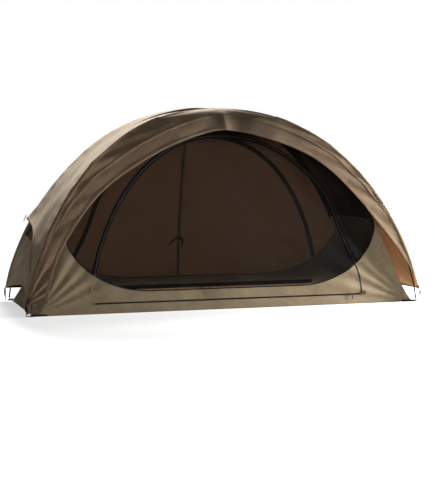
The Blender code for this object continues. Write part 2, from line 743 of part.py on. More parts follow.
def make_fly(cloth, zip_tape, slider_metal):
    fly = empty("fly_lift")
    heights = row_heights(FLY_HEM, FLY_HEIGHT, FLY_ROWS)
    edge = CORNER_EDGE
    near = FLOOR_WIDTH / 2 + CUT_ROOM
    front = arch_panel("fly_front_panel", "front", fly_reach, heights, 16, cloth, CLOTH, edge, fly)
    boolean(front, prism("cut_fly_front_hem", front_hem_outline(), "Y", -near, -0.05), "DIFFERENCE")
    left = arch_panel("fly_left_panel", "left", fly_reach, heights, 8, cloth, CLOTH, SEAM_GAP, fly)
    side_reach = FLOOR_LENGTH / 2 + CUT_ROOM
    boolean(left, prism("cut_fly_left_hem", end_hem_outline(), "X", -side_reach, -0.5), "DIFFERENCE")
    arch_panel("fly_right_panel", "right", fly_reach, heights, 8, cloth, CLOTH, SEAM_GAP, fly)

    def zip_strip(half_width, top):
        low = -CUT_ROOM
        return [
            (FLY_ZIP_X - half_width, low),
            (FLY_ZIP_X + half_width, low),
            (FLY_ZIP_X + half_width, top),
            (FLY_ZIP_X - half_width, top),
        ]

    half_zip = FLY_ZIP_WIDTH / 2
    around = prism("cut_fly_zip_outside", zip_strip(half_zip + SEAM_GAP, FLY_ZIP_TOP + SEAM_GAP), "Y", 0.02, near)
    within = prism("cut_fly_zip", zip_strip(half_zip, FLY_ZIP_TOP), "Y", 0.02, near)
    back = arch_panel("fly_back_panel", "back", fly_reach, heights, 12, cloth, CLOTH, edge, fly)
    boolean(back, around, "DIFFERENCE")
    tape = arch_panel("fly_back_zip", "back", fly_reach, heights, 12, zip_tape, CLOTH, edge, fly)
    boolean(tape, within, "INTERSECT")
    slider_z = FLY_HEM + SLIDER_SIZE[1] / 2 + PULL_SIZE[1]
    slider = make_slider("fly_back_slider", "back", FLY_ZIP_X, slider_z, fly_reach, FLY_SLIDER_CLEARANCE, slider_metal)
    slider.parent = fly
    return fly


def make_tensioner(corner, fly, webbing, plastic):
    """Buckle, strap and hook that hang from a fly corner and swing about the buckle's top bar."""
    sx, sy = CORNERS[corner]
    out = Vector((sx * ALONG, sy * ACROSS, 0.0))
    foot = out * (fly_reach(FLY_HEM) + 0.5 * CLOTH)
    place = Matrix.Identity(4)
    place.col[0].xyz = Vector((0, 0, 1)).cross(out)
    place.col[1].xyz = out
    place.col[2].xyz = Vector((0, 0, 1))
    pivot_z = FLY_HEM - TENSIONER_GAP - BUCKLE_BAR / 2
    place.col[3].xyz = Vector((foot.x, foot.y, pivot_z))
    swing = empty(f"tensioner_{corner}", place, fly)

    def local(z):
        return z - pivot_z

    # Buckle: a frame with a top, a middle and a bottom bar
    name = f"corner_buckle_{corner}"
    middle = BUCKLE_BOTTOM + BUCKLE_HEIGHT / 2
    size = (BUCKLE_WIDTH, BUCKLE_THICKNESS, BUCKLE_HEIGHT)
    buckle = link(name, box_mesh(name, size, (0, 0, local(middle))), plastic, swing)
    slot_height = (BUCKLE_HEIGHT - 3 * BUCKLE_BAR) / 2
    slot_width = BUCKLE_WIDTH - 2 * BUCKLE_SIDE
    for number, lift in (("low", 0), ("high", 1)):
        slot_low = BUCKLE_BOTTOM + BUCKLE_BAR + lift * (slot_height + BUCKLE_BAR)
        slot_size = (slot_width, 2 * BUCKLE_THICKNESS, slot_height)
        slot_name = f"slot_{number}_{name}"
        slot = link(slot_name, box_mesh(slot_name, slot_size, (0, 0, local(slot_low + slot_height / 2))), None, swing)
        boolean(buckle, as_cutter(slot), "DIFFERENCE")

    # Strap: up behind the buckle, over its middle bar and down in front as the free tail
    name = f"corner_strap_{corner}"
    inside = BUCKLE_THICKNESS / 2 + SEAM_GAP
    outside = inside + STRAP_THICKNESS
    bar_top = BUCKLE_BOTTOM + slot_height + 2 * BUCKLE_BAR + SEAM_GAP
    strap_top = bar_top + STRAP_THICKNESS
    tail_bottom = STRAP_BOTTOM + TAIL_SHORTER_BY
    profile = [
        (-outside, STRAP_BOTTOM), (-inside, STRAP_BOTTOM), (-inside, bar_top), (inside, bar_top),
        (inside, tail_bottom), (outside, tail_bottom), (outside, strap_top), (-outside, strap_top),
    ]
    bm = bmesh.new()
    near = [bm.verts.new((-STRAP_WIDTH / 2, y, local(z))) for y, z in profile]
    face = bm.faces.new(near)
    result = bmesh.ops.extrude_face_region(bm, geom=[face])
    moved = [item for item in result["geom"] if isinstance(item, bmesh.types.BMVert)]
    bmesh.ops.translate(bm, vec=(STRAP_WIDTH, 0, 0), verts=moved)
    bmesh.ops.recalc_face_normals(bm, faces=bm.faces)
    link(name, finish_mesh(bm, name), webbing, swing)

    # Hook: a flat ring with a mouth at its side
    name = f"corner_hook_{corner}"
    middle = HOOK_GROUND_GAP + HOOK_HEIGHT / 2
    behind = -inside - STRAP_THICKNESS / 2
    size = (HOOK_WIDTH, HOOK_THICKNESS, HOOK_HEIGHT)
    hook = link(name, box_mesh(name, size, (0, behind, local(middle))), plastic, swing)
    hole_size = (HOOK_WIDTH - 2 * HOOK_BAR, 2 * HOOK_THICKNESS, HOOK_HEIGHT - 2 * HOOK_BAR)
    hole = link(f"hole_{name}", box_mesh(f"hole_{name}", hole_size, (0, behind, local(middle))), None, swing)
    boolean(hook, as_cutter(hole), "DIFFERENCE")
    mouth_size = (HOOK_BAR * 2, 2 * HOOK_THICKNESS, HOOK_MOUTH)
    mouth_centre = (HOOK_WIDTH / 2 - HOOK_BAR / 2, behind, local(middle))
    mouth = link(f"mouth_{name}", box_mesh(f"mouth_{name}", mouth_size, mouth_centre), None, swing)
    boolean(hook, as_cutter(mouth), "DIFFERENCE")


clear_scene()
fly_cloth = make_material("fly_cloth", (0.28, 0.21, 0.15), 0.75)
wall_cloth = make_material("wall_cloth", (0.24, 0.21, 0.13), 0.8)
insect_mesh = make_material("insect_mesh", (0.02, 0.02, 0.02), 0.9)
floor_cloth = make_material("floor_cloth", (0.05, 0.045, 0.04), 0.7)
zip_black = make_material("zip_black", (0.01, 0.01, 0.01), 0.6)
webbing_black = make_material("webbing_black", (0.012, 0.012, 0.012), 0.85)
plastic_black = make_material("plastic_black", (0.015, 0.015, 0.015), 0.45)
pole_metal = make_material("pole_metal", (0.35, 0.33, 0.30), 0.35, 0.9)
elastic_white = make_material("elastic_white", (0.7, 0.7, 0.68), 0.8)
slider_black = make_material("slider_black", (0.02, 0.02, 0.02), 0.4, 0.6)

pole_lines = make_poles(pole_metal, plastic_black, elastic_white)
make_crossing_hub(pole_lines, plastic_black)
for pole_name, (pole_ends, _) in POLES.items():
    for pole_end, corner_name in enumerate(pole_ends):
        make_clip(f"clip_{corner_name}", pole_lines[pole_name], pole_end == 1, plastic_black)
make_floor(floor_cloth)
for face_side in ("front", "back"):
    make_inner(face_side, wall_cloth, insect_mesh, zip_black)
for face_side in ("left", "right"):
    make_ends(face_side, wall_cloth, insect_mesh)
slider_x = DOOR_HALF_WIDTH - DOOR_CORNER - SLIDER_END_ROOM
make_slider("front_door_slider", "front", slider_x, DOOR_BOTTOM, inner_reach, DOOR_SLIDER_CLEARANCE, slider_black)
make_slider("back_door_slider", "back", -slider_x, DOOR_BOTTOM, inner_reach, DOOR_SLIDER_CLEARANCE, slider_black)
for corner_name in CORNERS:
    make_corner_tab(corner_name, webbing_black)
fly_parent = make_fly(fly_cloth, zip_black, slider_black)
for corner_name in CORNERS:
    make_tensioner(corner_name, fly_parent, webbing_black, plastic_black)
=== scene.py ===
"""The looks of an arched tent for one sleeper: poles, netting inner tent, zips, fly and corner tensioners."""

import math

import bmesh
import bpy
import numpy as np
from mathutils import Matrix, Vector


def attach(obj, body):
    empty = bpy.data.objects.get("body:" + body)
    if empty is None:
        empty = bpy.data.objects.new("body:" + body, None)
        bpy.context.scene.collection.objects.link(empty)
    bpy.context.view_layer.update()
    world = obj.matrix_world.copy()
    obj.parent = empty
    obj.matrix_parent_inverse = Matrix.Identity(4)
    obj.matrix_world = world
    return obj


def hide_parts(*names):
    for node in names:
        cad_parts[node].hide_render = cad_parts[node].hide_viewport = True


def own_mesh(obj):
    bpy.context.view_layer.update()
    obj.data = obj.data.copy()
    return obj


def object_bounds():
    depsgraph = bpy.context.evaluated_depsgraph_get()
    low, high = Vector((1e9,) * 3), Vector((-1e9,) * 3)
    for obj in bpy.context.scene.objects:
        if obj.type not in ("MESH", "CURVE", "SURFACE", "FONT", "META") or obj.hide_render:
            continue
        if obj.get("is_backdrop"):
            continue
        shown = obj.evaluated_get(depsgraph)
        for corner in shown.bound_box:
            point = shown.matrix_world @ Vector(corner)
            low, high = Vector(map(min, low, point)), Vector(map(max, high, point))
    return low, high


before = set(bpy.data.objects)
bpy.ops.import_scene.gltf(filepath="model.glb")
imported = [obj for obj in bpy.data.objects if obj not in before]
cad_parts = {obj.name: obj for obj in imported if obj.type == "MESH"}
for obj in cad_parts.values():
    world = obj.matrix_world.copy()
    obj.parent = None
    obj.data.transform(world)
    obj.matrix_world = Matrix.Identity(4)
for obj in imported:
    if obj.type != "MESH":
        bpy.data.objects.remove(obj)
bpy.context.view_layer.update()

# Camera. It stands to the left of the tent's open side, a little above the floor,
# and far enough away for the long lens of a product photograph.

azimuth, elevation, distance = math.radians(17.8), math.radians(5.2), 6.8
look_at = Vector((0.032, 0.0, 0.215))
forward = Vector((math.sin(azimuth) * math.cos(elevation), math.cos(azimuth) * math.cos(elevation),
                  -math.sin(elevation)))
bpy.ops.object.camera_add(location=look_at - forward * distance)
camera = bpy.context.object
camera.rotation_mode = "QUATERNION"
camera.rotation_quaternion = forward.to_track_quat("-Z", "Y")
camera.data.sensor_fit = "HORIZONTAL"
camera.data.lens = 104.44
camera.data.shift_y = 0.0306
bpy.context.scene.camera = camera

# Poles. Two shock-corded poles of drawn aluminium, five anodised tubes each, with a spigot glued into each
# tube but the first. They are bent over the floor's diagonals and cross at the top.

MM = 0.001
FLOOR_LENGTH, FLOOR_WIDTH = (round(size, 6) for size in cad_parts["floor"].dimensions[:2])
HALF_DIAGONAL = math.hypot(FLOOR_LENGTH, FLOOR_WIDTH) / 2
ALONG = FLOOR_LENGTH / 2 / HALF_DIAGONAL
ACROSS = FLOOR_WIDTH / 2 / HALF_DIAGONAL
POLE_RADIUS = 0.0044
POLE_REACH = HALF_DIAGONAL + 0.014
POLE_HEIGHT = 1.008
POLE_FOOT = 0.0245
POLE_STACK = 0.010
TUBES_PER_POLE = 5
TUBE_END_GAP = 0.0004
ARCH_OUT, ARCH_UP = 2.3, 1.5
CORNERS = {"front_left": (-1, -1), "front_right": (1, -1), "back_left": (-1, 1), "back_right": (1, 1)}
POLES = {"pole_a": ("front_left", 0.0), "pole_b": ("back_left", POLE_STACK)}


def linear(colour):
    """An sRGB hex colour as linear red, green, blue and alpha."""
    channels = [int(colour[i:i + 2], 16) / 255 for i in (0, 2, 4)]
    channels = [c / 12.92 if c <= 0.04045 else ((c + 0.055) / 1.055) ** 2.4 for c in channels]
    return channels + [1.0]


def add_node(material, kind, inputs=None, **settings):
    """Adds a node; inputs maps a socket to a value or to another node's output."""
    node = material.node_tree.nodes.new(kind)
    for name, value in settings.items():
        setattr(node, name, value)
    for socket, value in (inputs or {}).items():
        if isinstance(value, bpy.types.NodeSocket):
            material.node_tree.links.new(value, node.inputs[socket])
        else:
            node.inputs[socket].default_value = value
    return node


def start_material(name, roughness, metallic=0.0):
    """A new material and its shader."""
    material = bpy.data.materials.new(name)
    material.use_nodes = True
    shader = material.node_tree.nodes["Principled BSDF"]
    shader.inputs["Roughness"].default_value = roughness
    shader.inputs["Metallic"].default_value = metallic
    return material, shader


def wire(material, output, socket):
    """Links a node's output to a socket of another node."""
    material.node_tree.links.new(output, socket)


def colour_by(material, shader, pattern, dark, light, low=0.0, high=1.0):
    """Lets a pattern choose the colour, dark up to low and light from high on."""
    tone = add_node(material, "ShaderNodeValToRGB", {0: pattern})
    for element, position, colour in zip(tone.color_ramp.elements, (low, high), (dark, light)):
        element.position, element.color = position, linear(colour)
    wire(material, tone.outputs[0], shader.inputs["Base Color"])


def raise_by(material, shader, pattern, strength):
    """Lets a pattern raise the skin by up to a fifth of a millimetre."""
    bump = add_node(material, "ShaderNodeBump", {"Height": pattern, "Strength": strength, "Distance": 0.2 * MM})
    wire(material, bump.outputs[0], shader.inputs["Normal"])


def mottled(name, dark, light, roughness, patch, grain=None, relief=0.0, metallic=0.0, details=(2.0, 2.0)):
    """A hard finish. Its colour wanders in patches, and a grain raises it; both are given in real sizes."""
    material, shader = start_material(name, roughness, metallic)
    place = add_node(material, "ShaderNodeTexCoord").outputs["Object"]
    clouds = add_node(material, "ShaderNodeTexNoise",
                      {"Vector": place, "Scale": 1 / patch, "Detail": details[0]})
    colour_by(material, shader, clouds.outputs[0], dark, light)
    if grain:
        fine = add_node(material, "ShaderNodeTexNoise",
                        {"Vector": place, "Scale": 1 / grain, "Detail": details[1]})
        raise_by(material, shader, fine.outputs[0], relief)
    return material


def sweep(name, points, radius, sides=16):
    """A round tube along points, made as a bevelled curve and turned into a mesh."""
    curve = bpy.data.curves.new(name, "CURVE")
    curve.dimensions = "3D"
    curve.bevel_depth = radius
    curve.bevel_resolution = max(1, sides // 4 - 1)
    curve.use_fill_caps = True
    spline = curve.splines.new("POLY")
    spline.points.add(len(points) - 1)
    spline.points.foreach_set("co", np.c_[np.array(points), np.ones(len(points))].ravel())
    piece = bpy.data.objects.new(name, curve)
    bpy.context.scene.collection.objects.link(piece)
    bpy.ops.object.select_all(action="DESELECT")
    piece.select_set(True)
    bpy.context.view_layer.objects.active = piece
    bpy.ops.object.convert(target="MESH")
    piece = bpy.context.object
    bpy.ops.object.shade_smooth_by_angle(angle=math.radians(40))
    return piece


def dress(piece, material, body, slot, *nodes):
    """Gives a finished piece its material, the body it moves with and the CAD nodes it stands for."""
    piece.data.materials.clear()
    piece.data.materials.append(material)
    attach(piece, body)
    if nodes:
        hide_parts(*nodes)
    return piece


def kept_look(material, *nodes):
    """Gives pieces that keep the CAD's shape their material."""
    for node in nodes:
        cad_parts[node].material_slots[0].material = material


# Anodised drawn aluminium: a dark satin skin, with lines from the drawing a millimetre apart and a film that
# is a little uneven
anodised = mottled("anodised_aluminium_tube", "201E1C", "322F2C", 0.36, patch=16.7 * MM, grain=1.11 * MM,
                   relief=0.15, metallic=0.85, details=(3.0, 1.0))


def pole_curve(start, lift):
    """Points of a pole's centre line and their length from the foot."""
    height = POLE_HEIGHT + lift
    low = math.asin((POLE_FOOT / height) ** (ARCH_UP / 2))
    angle = np.linspace(low, math.pi - low, 6001)
    along = -POLE_REACH * np.sign(np.cos(angle)) * np.abs(np.cos(angle)) ** (2 / ARCH_OUT)
    up = height * np.sin(angle) ** (2 / ARCH_UP)
    points = np.c_[-start[0] * ALONG * along, -start[1] * ACROSS * along, up]
    length = np.r_[0.0, np.cumsum(np.linalg.norm(np.diff(points, axis=0), axis=1))]
    return points, length


def points_between(points, length, start, end, step):
    """The part of a line from one length to another, with a point about every step metres."""
    at = np.linspace(start, end, max(2, int((end - start) / step)))
    return np.c_[tuple(np.interp(at, length, points[:, k]) for k in range(3))]


for pole, (foot, lift) in POLES.items():
    points, length = pole_curve(CORNERS[foot], lift)
    pitch = length[-1] / TUBES_PER_POLE
    for index in range(TUBES_PER_POLE):
        node = f"{pole}_section_{index + 1}"
        start, end = index * pitch + TUBE_END_GAP, (index + 1) * pitch - TUBE_END_GAP
        tube = sweep(f"{node}_tube", points_between(points, length, start, end, 0.010), POLE_RADIUS)
        dress(tube, anodised, "inner_tent", "pole_metal", node)

# Braided polyester sheath of the shock cords: dull black with grey flecks, 4 mm apart. At a scale of one the
# wave's diagonal bands are a fifth of pi apart.
cord_sheath, shader = start_material("braided_sheath", 0.7)
place = add_node(cord_sheath, "ShaderNodeTexCoord").outputs["Object"]
braid = add_node(cord_sheath, "ShaderNodeTexWave",
                 {"Vector": place, "Scale": math.pi / 5 / (4 * MM), "Distortion": 1.5},
                 wave_type="BANDS", bands_direction="DIAGONAL")
colour_by(cord_sheath, shader, braid.outputs[0], "100F0F", "2A2927")
raise_by(cord_sheath, shader, braid.outputs[0], 0.5)
kept_look(cord_sheath, "pole_a_shock_cord", "pole_b_shock_cord")

# Pole fittings. A moulded hub holds the poles where they cross, four moulded clips hang the inner tent
# from them, and a tip with a pin closes each pole's end and stands in the eyelet of a corner tab.

# Moulded acetal: hard, matt black, with the orange-peel grain of a textured mould
acetal = mottled("moulded_acetal", "131313", "222120", 0.48, patch=11.1 * MM, grain=0.71 * MM, relief=0.25)
kept_look(acetal, "crossing_hub", *[f"{kind}_{corner}" for corner in CORNERS for kind in ("pole_tip", "clip")])

# Floor. One sheet of coated groundsheet cloth with a tab of polyester webbing, 20 mm wide, sewn under
# each corner. The tab carries the eyelet for a pole's tip.

DYE_PATCH = 38.5 * MM
CREASE = 91 * MM


def woven(name, dark, light, thread, roughness, sheen=0.0, relief=0.3, crease=0.25, flat_map=True):
    """Woven cloth. Its threads follow the piece's flat map, or with flat_map off the piece's own axes."""
    material, shader = start_material(name, roughness)
    place = add_node(material, "ShaderNodeTexCoord").outputs["Object"]
    if flat_map:
        lie = add_node(material, "ShaderNodeUVMap", uv_map="cloth")
    else:
        lie = add_node(material, "ShaderNodeVectorRotate", {"Vector": place, "Angle": math.radians(45)},
                       rotation_type="X_AXIS")
    axes = add_node(material, "ShaderNodeSeparateXYZ", {0: lie.outputs[0]})
    threads = []
    for axis in ("X", "Y"):
        turns = add_node(material, "ShaderNodeMath", {0: axes.outputs[axis], 1: 2 * math.pi / thread},
                         operation="MULTIPLY")
        threads.append(add_node(material, "ShaderNodeMath", {0: turns.outputs[0]}, operation="SINE"))
    weave = add_node(material, "ShaderNodeMath", {0: threads[0].outputs[0], 1: threads[1].outputs[0]},
                     operation="MULTIPLY")
    dye = add_node(material, "ShaderNodeTexNoise", {"Vector": place, "Scale": 1 / DYE_PATCH, "Detail": 5.0,
                                                    "Roughness": 0.6})
    colour_by(material, shader, dye.outputs[0], dark, light, 0.35, 0.65)
    shader.inputs["Sheen Weight"].default_value = sheen
    shader.inputs["IOR"].default_value = 1.2
    shader.inputs["Specular IOR Level"].default_value = 0.3
    creases = add_node(material, "ShaderNodeTexNoise", {"Vector": place, "Scale": 1 / CREASE, "Detail": 3.0,
                                                        "Roughness": 0.55, "Distortion": 0.8},
                       noise_type="RIDGED_MULTIFRACTAL")
    soft = add_node(material, "ShaderNodeBump", {"Height": creases.outputs[0], "Strength": crease,
                                                 "Distance": 0.004})
    bump = add_node(material, "ShaderNodeBump", {"Height": weave.outputs[0], "Strength": relief,
                                                 "Distance": 0.0001, "Normal": soft.outputs[0]})
    wire(material, bump.outputs[0], shader.inputs["Normal"])
    return material


# Coated groundsheet: a plain weave under a smooth film, half matt and greyish brown
floor_cloth = woven("coated_groundsheet", "4A4338", "574F43", 1.0 * MM, 0.55, flat_map=False)
kept_look(floor_cloth, "floor")

# Polyester webbing: a coarse, dense black weave that shows its ribs, 1.6 mm apart
webbing = woven("webbing_black", "0F0F0E", "1B1A19", 1.6 * MM, 0.6, relief=0.8, crease=0.0, flat_map=False)
kept_look(webbing, *[f"corner_tab_{corner}" for corner in CORNERS])

# Walls of the inner tent. Tan polyester runs round the foot of the inner tent and is sewn to the floor's
# edge. On the long sides it dips to a low sill before the door, and is cut out round the door's foot.

INNER_HEIGHT = POLE_HEIGHT - 0.018
WALL_TOP = 0.445
FACES = {"front": 0, "right": 1, "back": 2, "left": 3}
INNER_SAG = 0.003
INNER_WAVES = [(0.0016, 1.7, 0.4, 1.3), (0.0010, -3.1, 2.1, 0.3), (0.0006, 5.3, 3.0, 2.2)]
INNER_FILLET = 0.010

# The zip line of a door: half its width, its top, the two powers of its arch, the height where its sides turn
# in, its foot, the radius of its lower corners, and how far its closing side is drawn in, from where and over
# what height
DOOR_HALF, DOOR_TOP = 0.735, 0.885
DOOR_OUT, DOOR_UP = 2.15, 1.8
DOOR_SHOULDER, DOOR_FOOT = 0.100, 0.050
DOOR_CORNER = 0.014
DOOR_DRAWN_IN, DRAWN_FROM, DRAWN_OVER = 0.033, 0.12, 0.5
COIL_HALF = 0.0038

# The sill on the long sides: its height, half the length of its low middle, the length of its rise and how far
# it is set off the door's middle
SILL_LOW = 0.105
SILL_FLAT, SILL_RISE = 0.40, 0.445
SILL_ASIDE = 0.020


def arch_reach(z, reach, height):
    """Half the diagonal of the tent's plan at a height, from its reach at the foot and the arch's top."""
    share = np.clip(np.asarray(z, float) / height, 0.0, 1.0)
    return reach * np.maximum(0.0, 1.0 - share ** ARCH_UP) ** (1 / ARCH_OUT)


def inner_reach(z):
    """The arch of the inner tent, which is taken in quickly above its foot."""
    taken_in = 0.07 * (1.0 - np.exp(-np.maximum(z, 0.0) / 0.10))
    return arch_reach(z, HALF_DIAGONAL, INNER_HEIGHT) * (1.0 - taken_in)


TOP_OF = {inner_reach: INNER_HEIGHT}


def ring_size(side, z, reach_at, fillet):
    """Half the length of a face's flat part at a height, its distance out, its corner radius and its run."""
    half_x, half_y = reach_at(z) * ALONG, reach_at(z) * ACROSS
    half = np.where(side % 2 == 0, half_x, half_y)
    out = np.where(side % 2 == 0, half_y, half_x)
    radius = np.minimum(fillet, 0.4 * np.minimum(half_x, half_y)) + 1e-6
    return half - radius, out, radius, half - radius + radius * math.pi / 4


def ring_point(c, z, reach_at, fillet):
    """A point of an arched ring. c runs from 0 to 4 round the front, right, back and left faces."""
    side = np.minimum(np.floor(c), 3).astype(int)
    s = 2 * (c - side) - 1
    flat, out, radius, run = ring_size(side, z, reach_at, fillet)
    over = np.clip((np.abs(s) * run - flat) / radius, 0.0, math.pi / 4)
    a = np.sign(s) * np.where(over > 0, flat + radius * np.sin(over), np.abs(s) * run)
    b = out - radius * (1 - np.cos(over))
    x = np.choose(side, [a, b, -a, -b])
    y = np.choose(side, [-b, a, b, -a])
    return np.stack([x, y, np.broadcast_to(z, x.shape)], axis=-1)


def ring_place(face, a, z, reach_at, fillet):
    """The c of the point of a face that is a metres along it, counted towards +X or +Y."""
    side = FACES[face]
    run = ring_size(np.array(side), z, reach_at, fillet)[3]
    s = np.clip(np.asarray(a, float) / run, -1.0, 1.0)
    if face in ("back", "left"):
        s = -s
    return side + (s + 1) / 2


def along_face(c, z, reach_at, fillet):
    """Metres along a face towards +X or +Y, and the length up the face's curve from the floor."""
    point = ring_point(c, z, reach_at, fillet)
    side = np.minimum(np.floor(c), 3).astype(int)
    a = np.where(side % 2 == 0, point[..., 0], point[..., 1])
    levels = np.linspace(0.0, 1.0, 1200) ** 0.5 * TOP_OF[reach_at]
    rise = []
    for share in (ACROSS, ALONG):
        out = reach_at(levels) * share
        rise.append(np.r_[0.0, np.cumsum(np.hypot(np.diff(out), np.diff(levels)))])
    up = np.where(side % 2 == 0, np.interp(z, levels, rise[0]), np.interp(z, levels, rise[1]))
    return a, up


def waves(a, up, rows):
    """Soft unevenness: sine waves, each with its size, its waves per metre along and up, and its phase."""
    total = np.zeros(np.broadcast(a, up).shape)
    for size, across, upwards, phase in rows:
        total = total + size * np.sin(2 * math.pi * (across * a + upwards * up) + phase)
    return total


def slack(c, z, reach_at):
    """How free the cloth is to sag: 0 on the pole lines and near the apex, 1 in mid face."""
    side = np.minimum(np.floor(c), 3)
    s = 2 * (c - side) - 1
    return (1 - s ** 2) * np.clip(reach_at(z) / 0.35, 0.0, 1.0)


def faded(value, low, high):
    """0 below low, 1 above high and a smooth step between them."""
    share = np.clip((value - low) / (high - low), 0.0, 1.0)
    return share * share * (3 - 2 * share)


def inner_dent(c, z):
    """How far the inner tent's cloth stands off its arch: sag and pull lines from the corner tabs."""
    a, up = along_face(c, z, inner_reach, INNER_FILLET)
    side = np.minimum(np.floor(c), 3).astype(int)
    s = 2 * (c - side) - 1
    edge = ring_size(side, z, inner_reach, INNER_FILLET)[3] * (1 - np.abs(s))
    dent = slack(c, z, inner_reach) * (-INNER_SAG + waves(a, up, INNER_WAVES)) * np.clip(z / 0.08, 0.0, 1.0)
    angle, far = np.arctan2(up, edge), np.hypot(up, edge)
    pull = np.where(s > 0, 0.0062, 0.0036) * np.exp(-far / 0.30)
    pull = pull * np.sin(19.0 * angle + 0.9 * side + 2.6 * (s > 0))
    return dent + pull * faded(far, 0.02, 0.10) * faded(edge, 0.0, 0.03) * faded(z, 0.002, 0.03)


def on_cloth(c, z, reach_at, fillet, dent, lift=0.0):
    """Points on the dented cloth, lifted off it by lift."""
    c, z = np.broadcast_arrays(np.asarray(c, float), np.asarray(z, float))
    step = 1e-4
    side = np.minimum(np.floor(c), 3)
    before, after = np.maximum(c - step, side), np.minimum(c + step, side + 1 - 1e-9)
    across = ring_point(after, z, reach_at, fillet) - ring_point(before, z, reach_at, fillet)
    up = ring_point(c, z + step, reach_at, fillet) - ring_point(c, z - step, reach_at, fillet)
    normal = np.cross(across, up)
    normal /= np.maximum(np.linalg.norm(normal, axis=-1, keepdims=True), 1e-12)
    return ring_point(c, z, reach_at, fillet) + normal * (dent(c, z) + lift)[..., None]


def inner_at(c, z, lift=0.0):
    """Points on the inner tent's cloth."""
    return on_cloth(c, z, inner_reach, INNER_FILLET, inner_dent, lift)


def parameter_grid(columns, levels):
    """Corners (c, z) and the cells between them; columns and levels are the values of c and z."""
    c, z = np.meshgrid(columns, levels)
    params = np.c_[c.ravel(), z.ravel()]
    wide = len(columns)
    cells = [(j * wide + i, j * wide + i + 1, (j + 1) * wide + i + 1, (j + 1) * wide + i)
             for j in range(len(levels) - 1) for i in range(wide - 1)]
    return params, cells


def cut(params, cells, field):
    """Keeps the part of a parameter grid where field is above zero, with its new corners on the zero line."""
    value = field(params)
    kept = value > 0
    crossing = {}
    for cell in cells:
        for a, b in zip(cell, cell[1:] + cell[:1]):
            if kept[a] != kept[b]:
                crossing.setdefault((min(a, b), max(a, b)), None)
    if crossing:
        ends = np.array(list(crossing))
        inside = np.where(kept[ends[:, 0]][:, None], params[ends[:, 0]], params[ends[:, 1]])
        outside = np.where(kept[ends[:, 0]][:, None], params[ends[:, 1]], params[ends[:, 0]])
        for _ in range(12):
            middle = (inside + outside) / 2
            above = (field(middle) > 0)[:, None]
            inside, outside = np.where(above, middle, inside), np.where(above, outside, middle)
        for number, edge in enumerate(crossing):
            crossing[edge] = len(params) + number
        params = np.r_[params, (inside + outside) / 2]
    result = []
    for cell in cells:
        if all(kept[i] for i in cell):
            result.append(cell)
        elif any(kept[i] for i in cell):
            corners = []
            for a, b in zip(cell, cell[1:] + cell[:1]):
                if kept[a]:
                    corners.append(a)
                if kept[a] != kept[b]:
                    corners.append(crossing[(min(a, b), max(a, b))])
            if len(corners) > 2:
                result.append(tuple(corners))
    return params, result


def signed_distance(points, outline):
    """Distance of points to a closed outline, above zero inside it."""
    outline = np.asarray(outline, float)
    best = np.full(len(points), 1e9)
    inside = np.zeros(len(points), bool)
    px, py = points[:, 0], points[:, 1]
    for (ax, ay), (bx, by) in zip(outline, np.roll(outline, -1, axis=0)):
        dx, dy = bx - ax, by - ay
        share = np.clip(((px - ax) * dx + (py - ay) * dy) / (dx * dx + dy * dy + 1e-18), 0.0, 1.0)
        best = np.minimum(best, np.hypot(px - ax - share * dx, py - ay - share * dy))
        if ay != by:
            inside ^= ((ay > py) != (by > py)) & (px < (bx - ax) * (py - ay) / (by - ay) + ax)
    return np.where(inside, best, -best)


def pattern_piece(columns, levels, *edges):
    """A parameter grid cut along the zero line of each edge's field."""
    params, cells = parameter_grid(columns, levels)
    for edge in edges:
        params, cells = cut(params, cells, edge)
    return params, cells


def cloth_mesh(name, params, cells, at, reach_at, fillet, thickness=0.0005):
    """Makes a sheet from a parameter grid, with a UV map in metres on the flat cloth."""
    used = sorted({i for cell in cells for i in cell})
    number = {old: new for new, old in enumerate(used)}
    params = params[used]
    cells = [tuple(number[i] for i in cell) for cell in cells]
    mesh = bpy.data.meshes.new(name)
    mesh.from_pydata(at(params[:, 0], params[:, 1]).tolist(), [], cells)
    layer = mesh.uv_layers.new(name="cloth")
    corners = np.concatenate([np.array(cell) for cell in cells])
    counts = np.array([len(cell) for cell in cells])
    middles = np.array([params[list(cell), 0].mean() for cell in cells])
    side = np.repeat(np.minimum(np.floor(middles), 3), counts)
    c = np.clip(params[corners, 0], side, side + 1 - 1e-7)
    a, up = along_face(c, params[corners, 1], reach_at, fillet)
    layer.data.foreach_set("uv", np.c_[np.where(side < 2, a, -a) + 3.0 * side, up].astype(np.float32).ravel())
    piece = bpy.data.objects.new(name, mesh)
    bpy.context.scene.collection.objects.link(piece)
    bm = bmesh.new()
    bm.from_mesh(mesh)
    bmesh.ops.remove_doubles(bm, verts=bm.verts, dist=1e-6)
    bm.to_mesh(mesh)
    bm.free()
    solid = piece.modifiers.new("thickness", "SOLIDIFY")
    solid.thickness = thickness
    solid.offset = -1.0
    bpy.ops.object.select_all(action="DESELECT")
    piece.select_set(True)
    bpy.context.view_layer.objects.active = piece
    bpy.ops.object.modifier_apply(modifier=solid.name)
    mesh.shade_smooth()
    mesh.set_sharp_from_angle(angle=math.radians(50))
    return piece


def let_through(material, share):
    """Lets light shine through thin cloth, a little redder than it came."""
    skin = material.node_tree.nodes["Principled BSDF"]
    skin.inputs["Sheen Tint"].default_value = linear("F0E2C8")
    skin.inputs["Subsurface Weight"].default_value = share
    skin.inputs["Subsurface Radius"].default_value = (1.0, 0.90, 0.80)
    skin.inputs["Subsurface Scale"].default_value = 0.002


# Plain-woven polyester, dyed tan: matt, with light shining through it. The threads are drawn 0.8 mm apart,
# three times as coarse as they are, to show.
wall_cloth = woven("polyester_tan", "85765F", "8F8067", 0.8 * MM, 0.75, 0.1)
let_through(wall_cloth, 0.8)


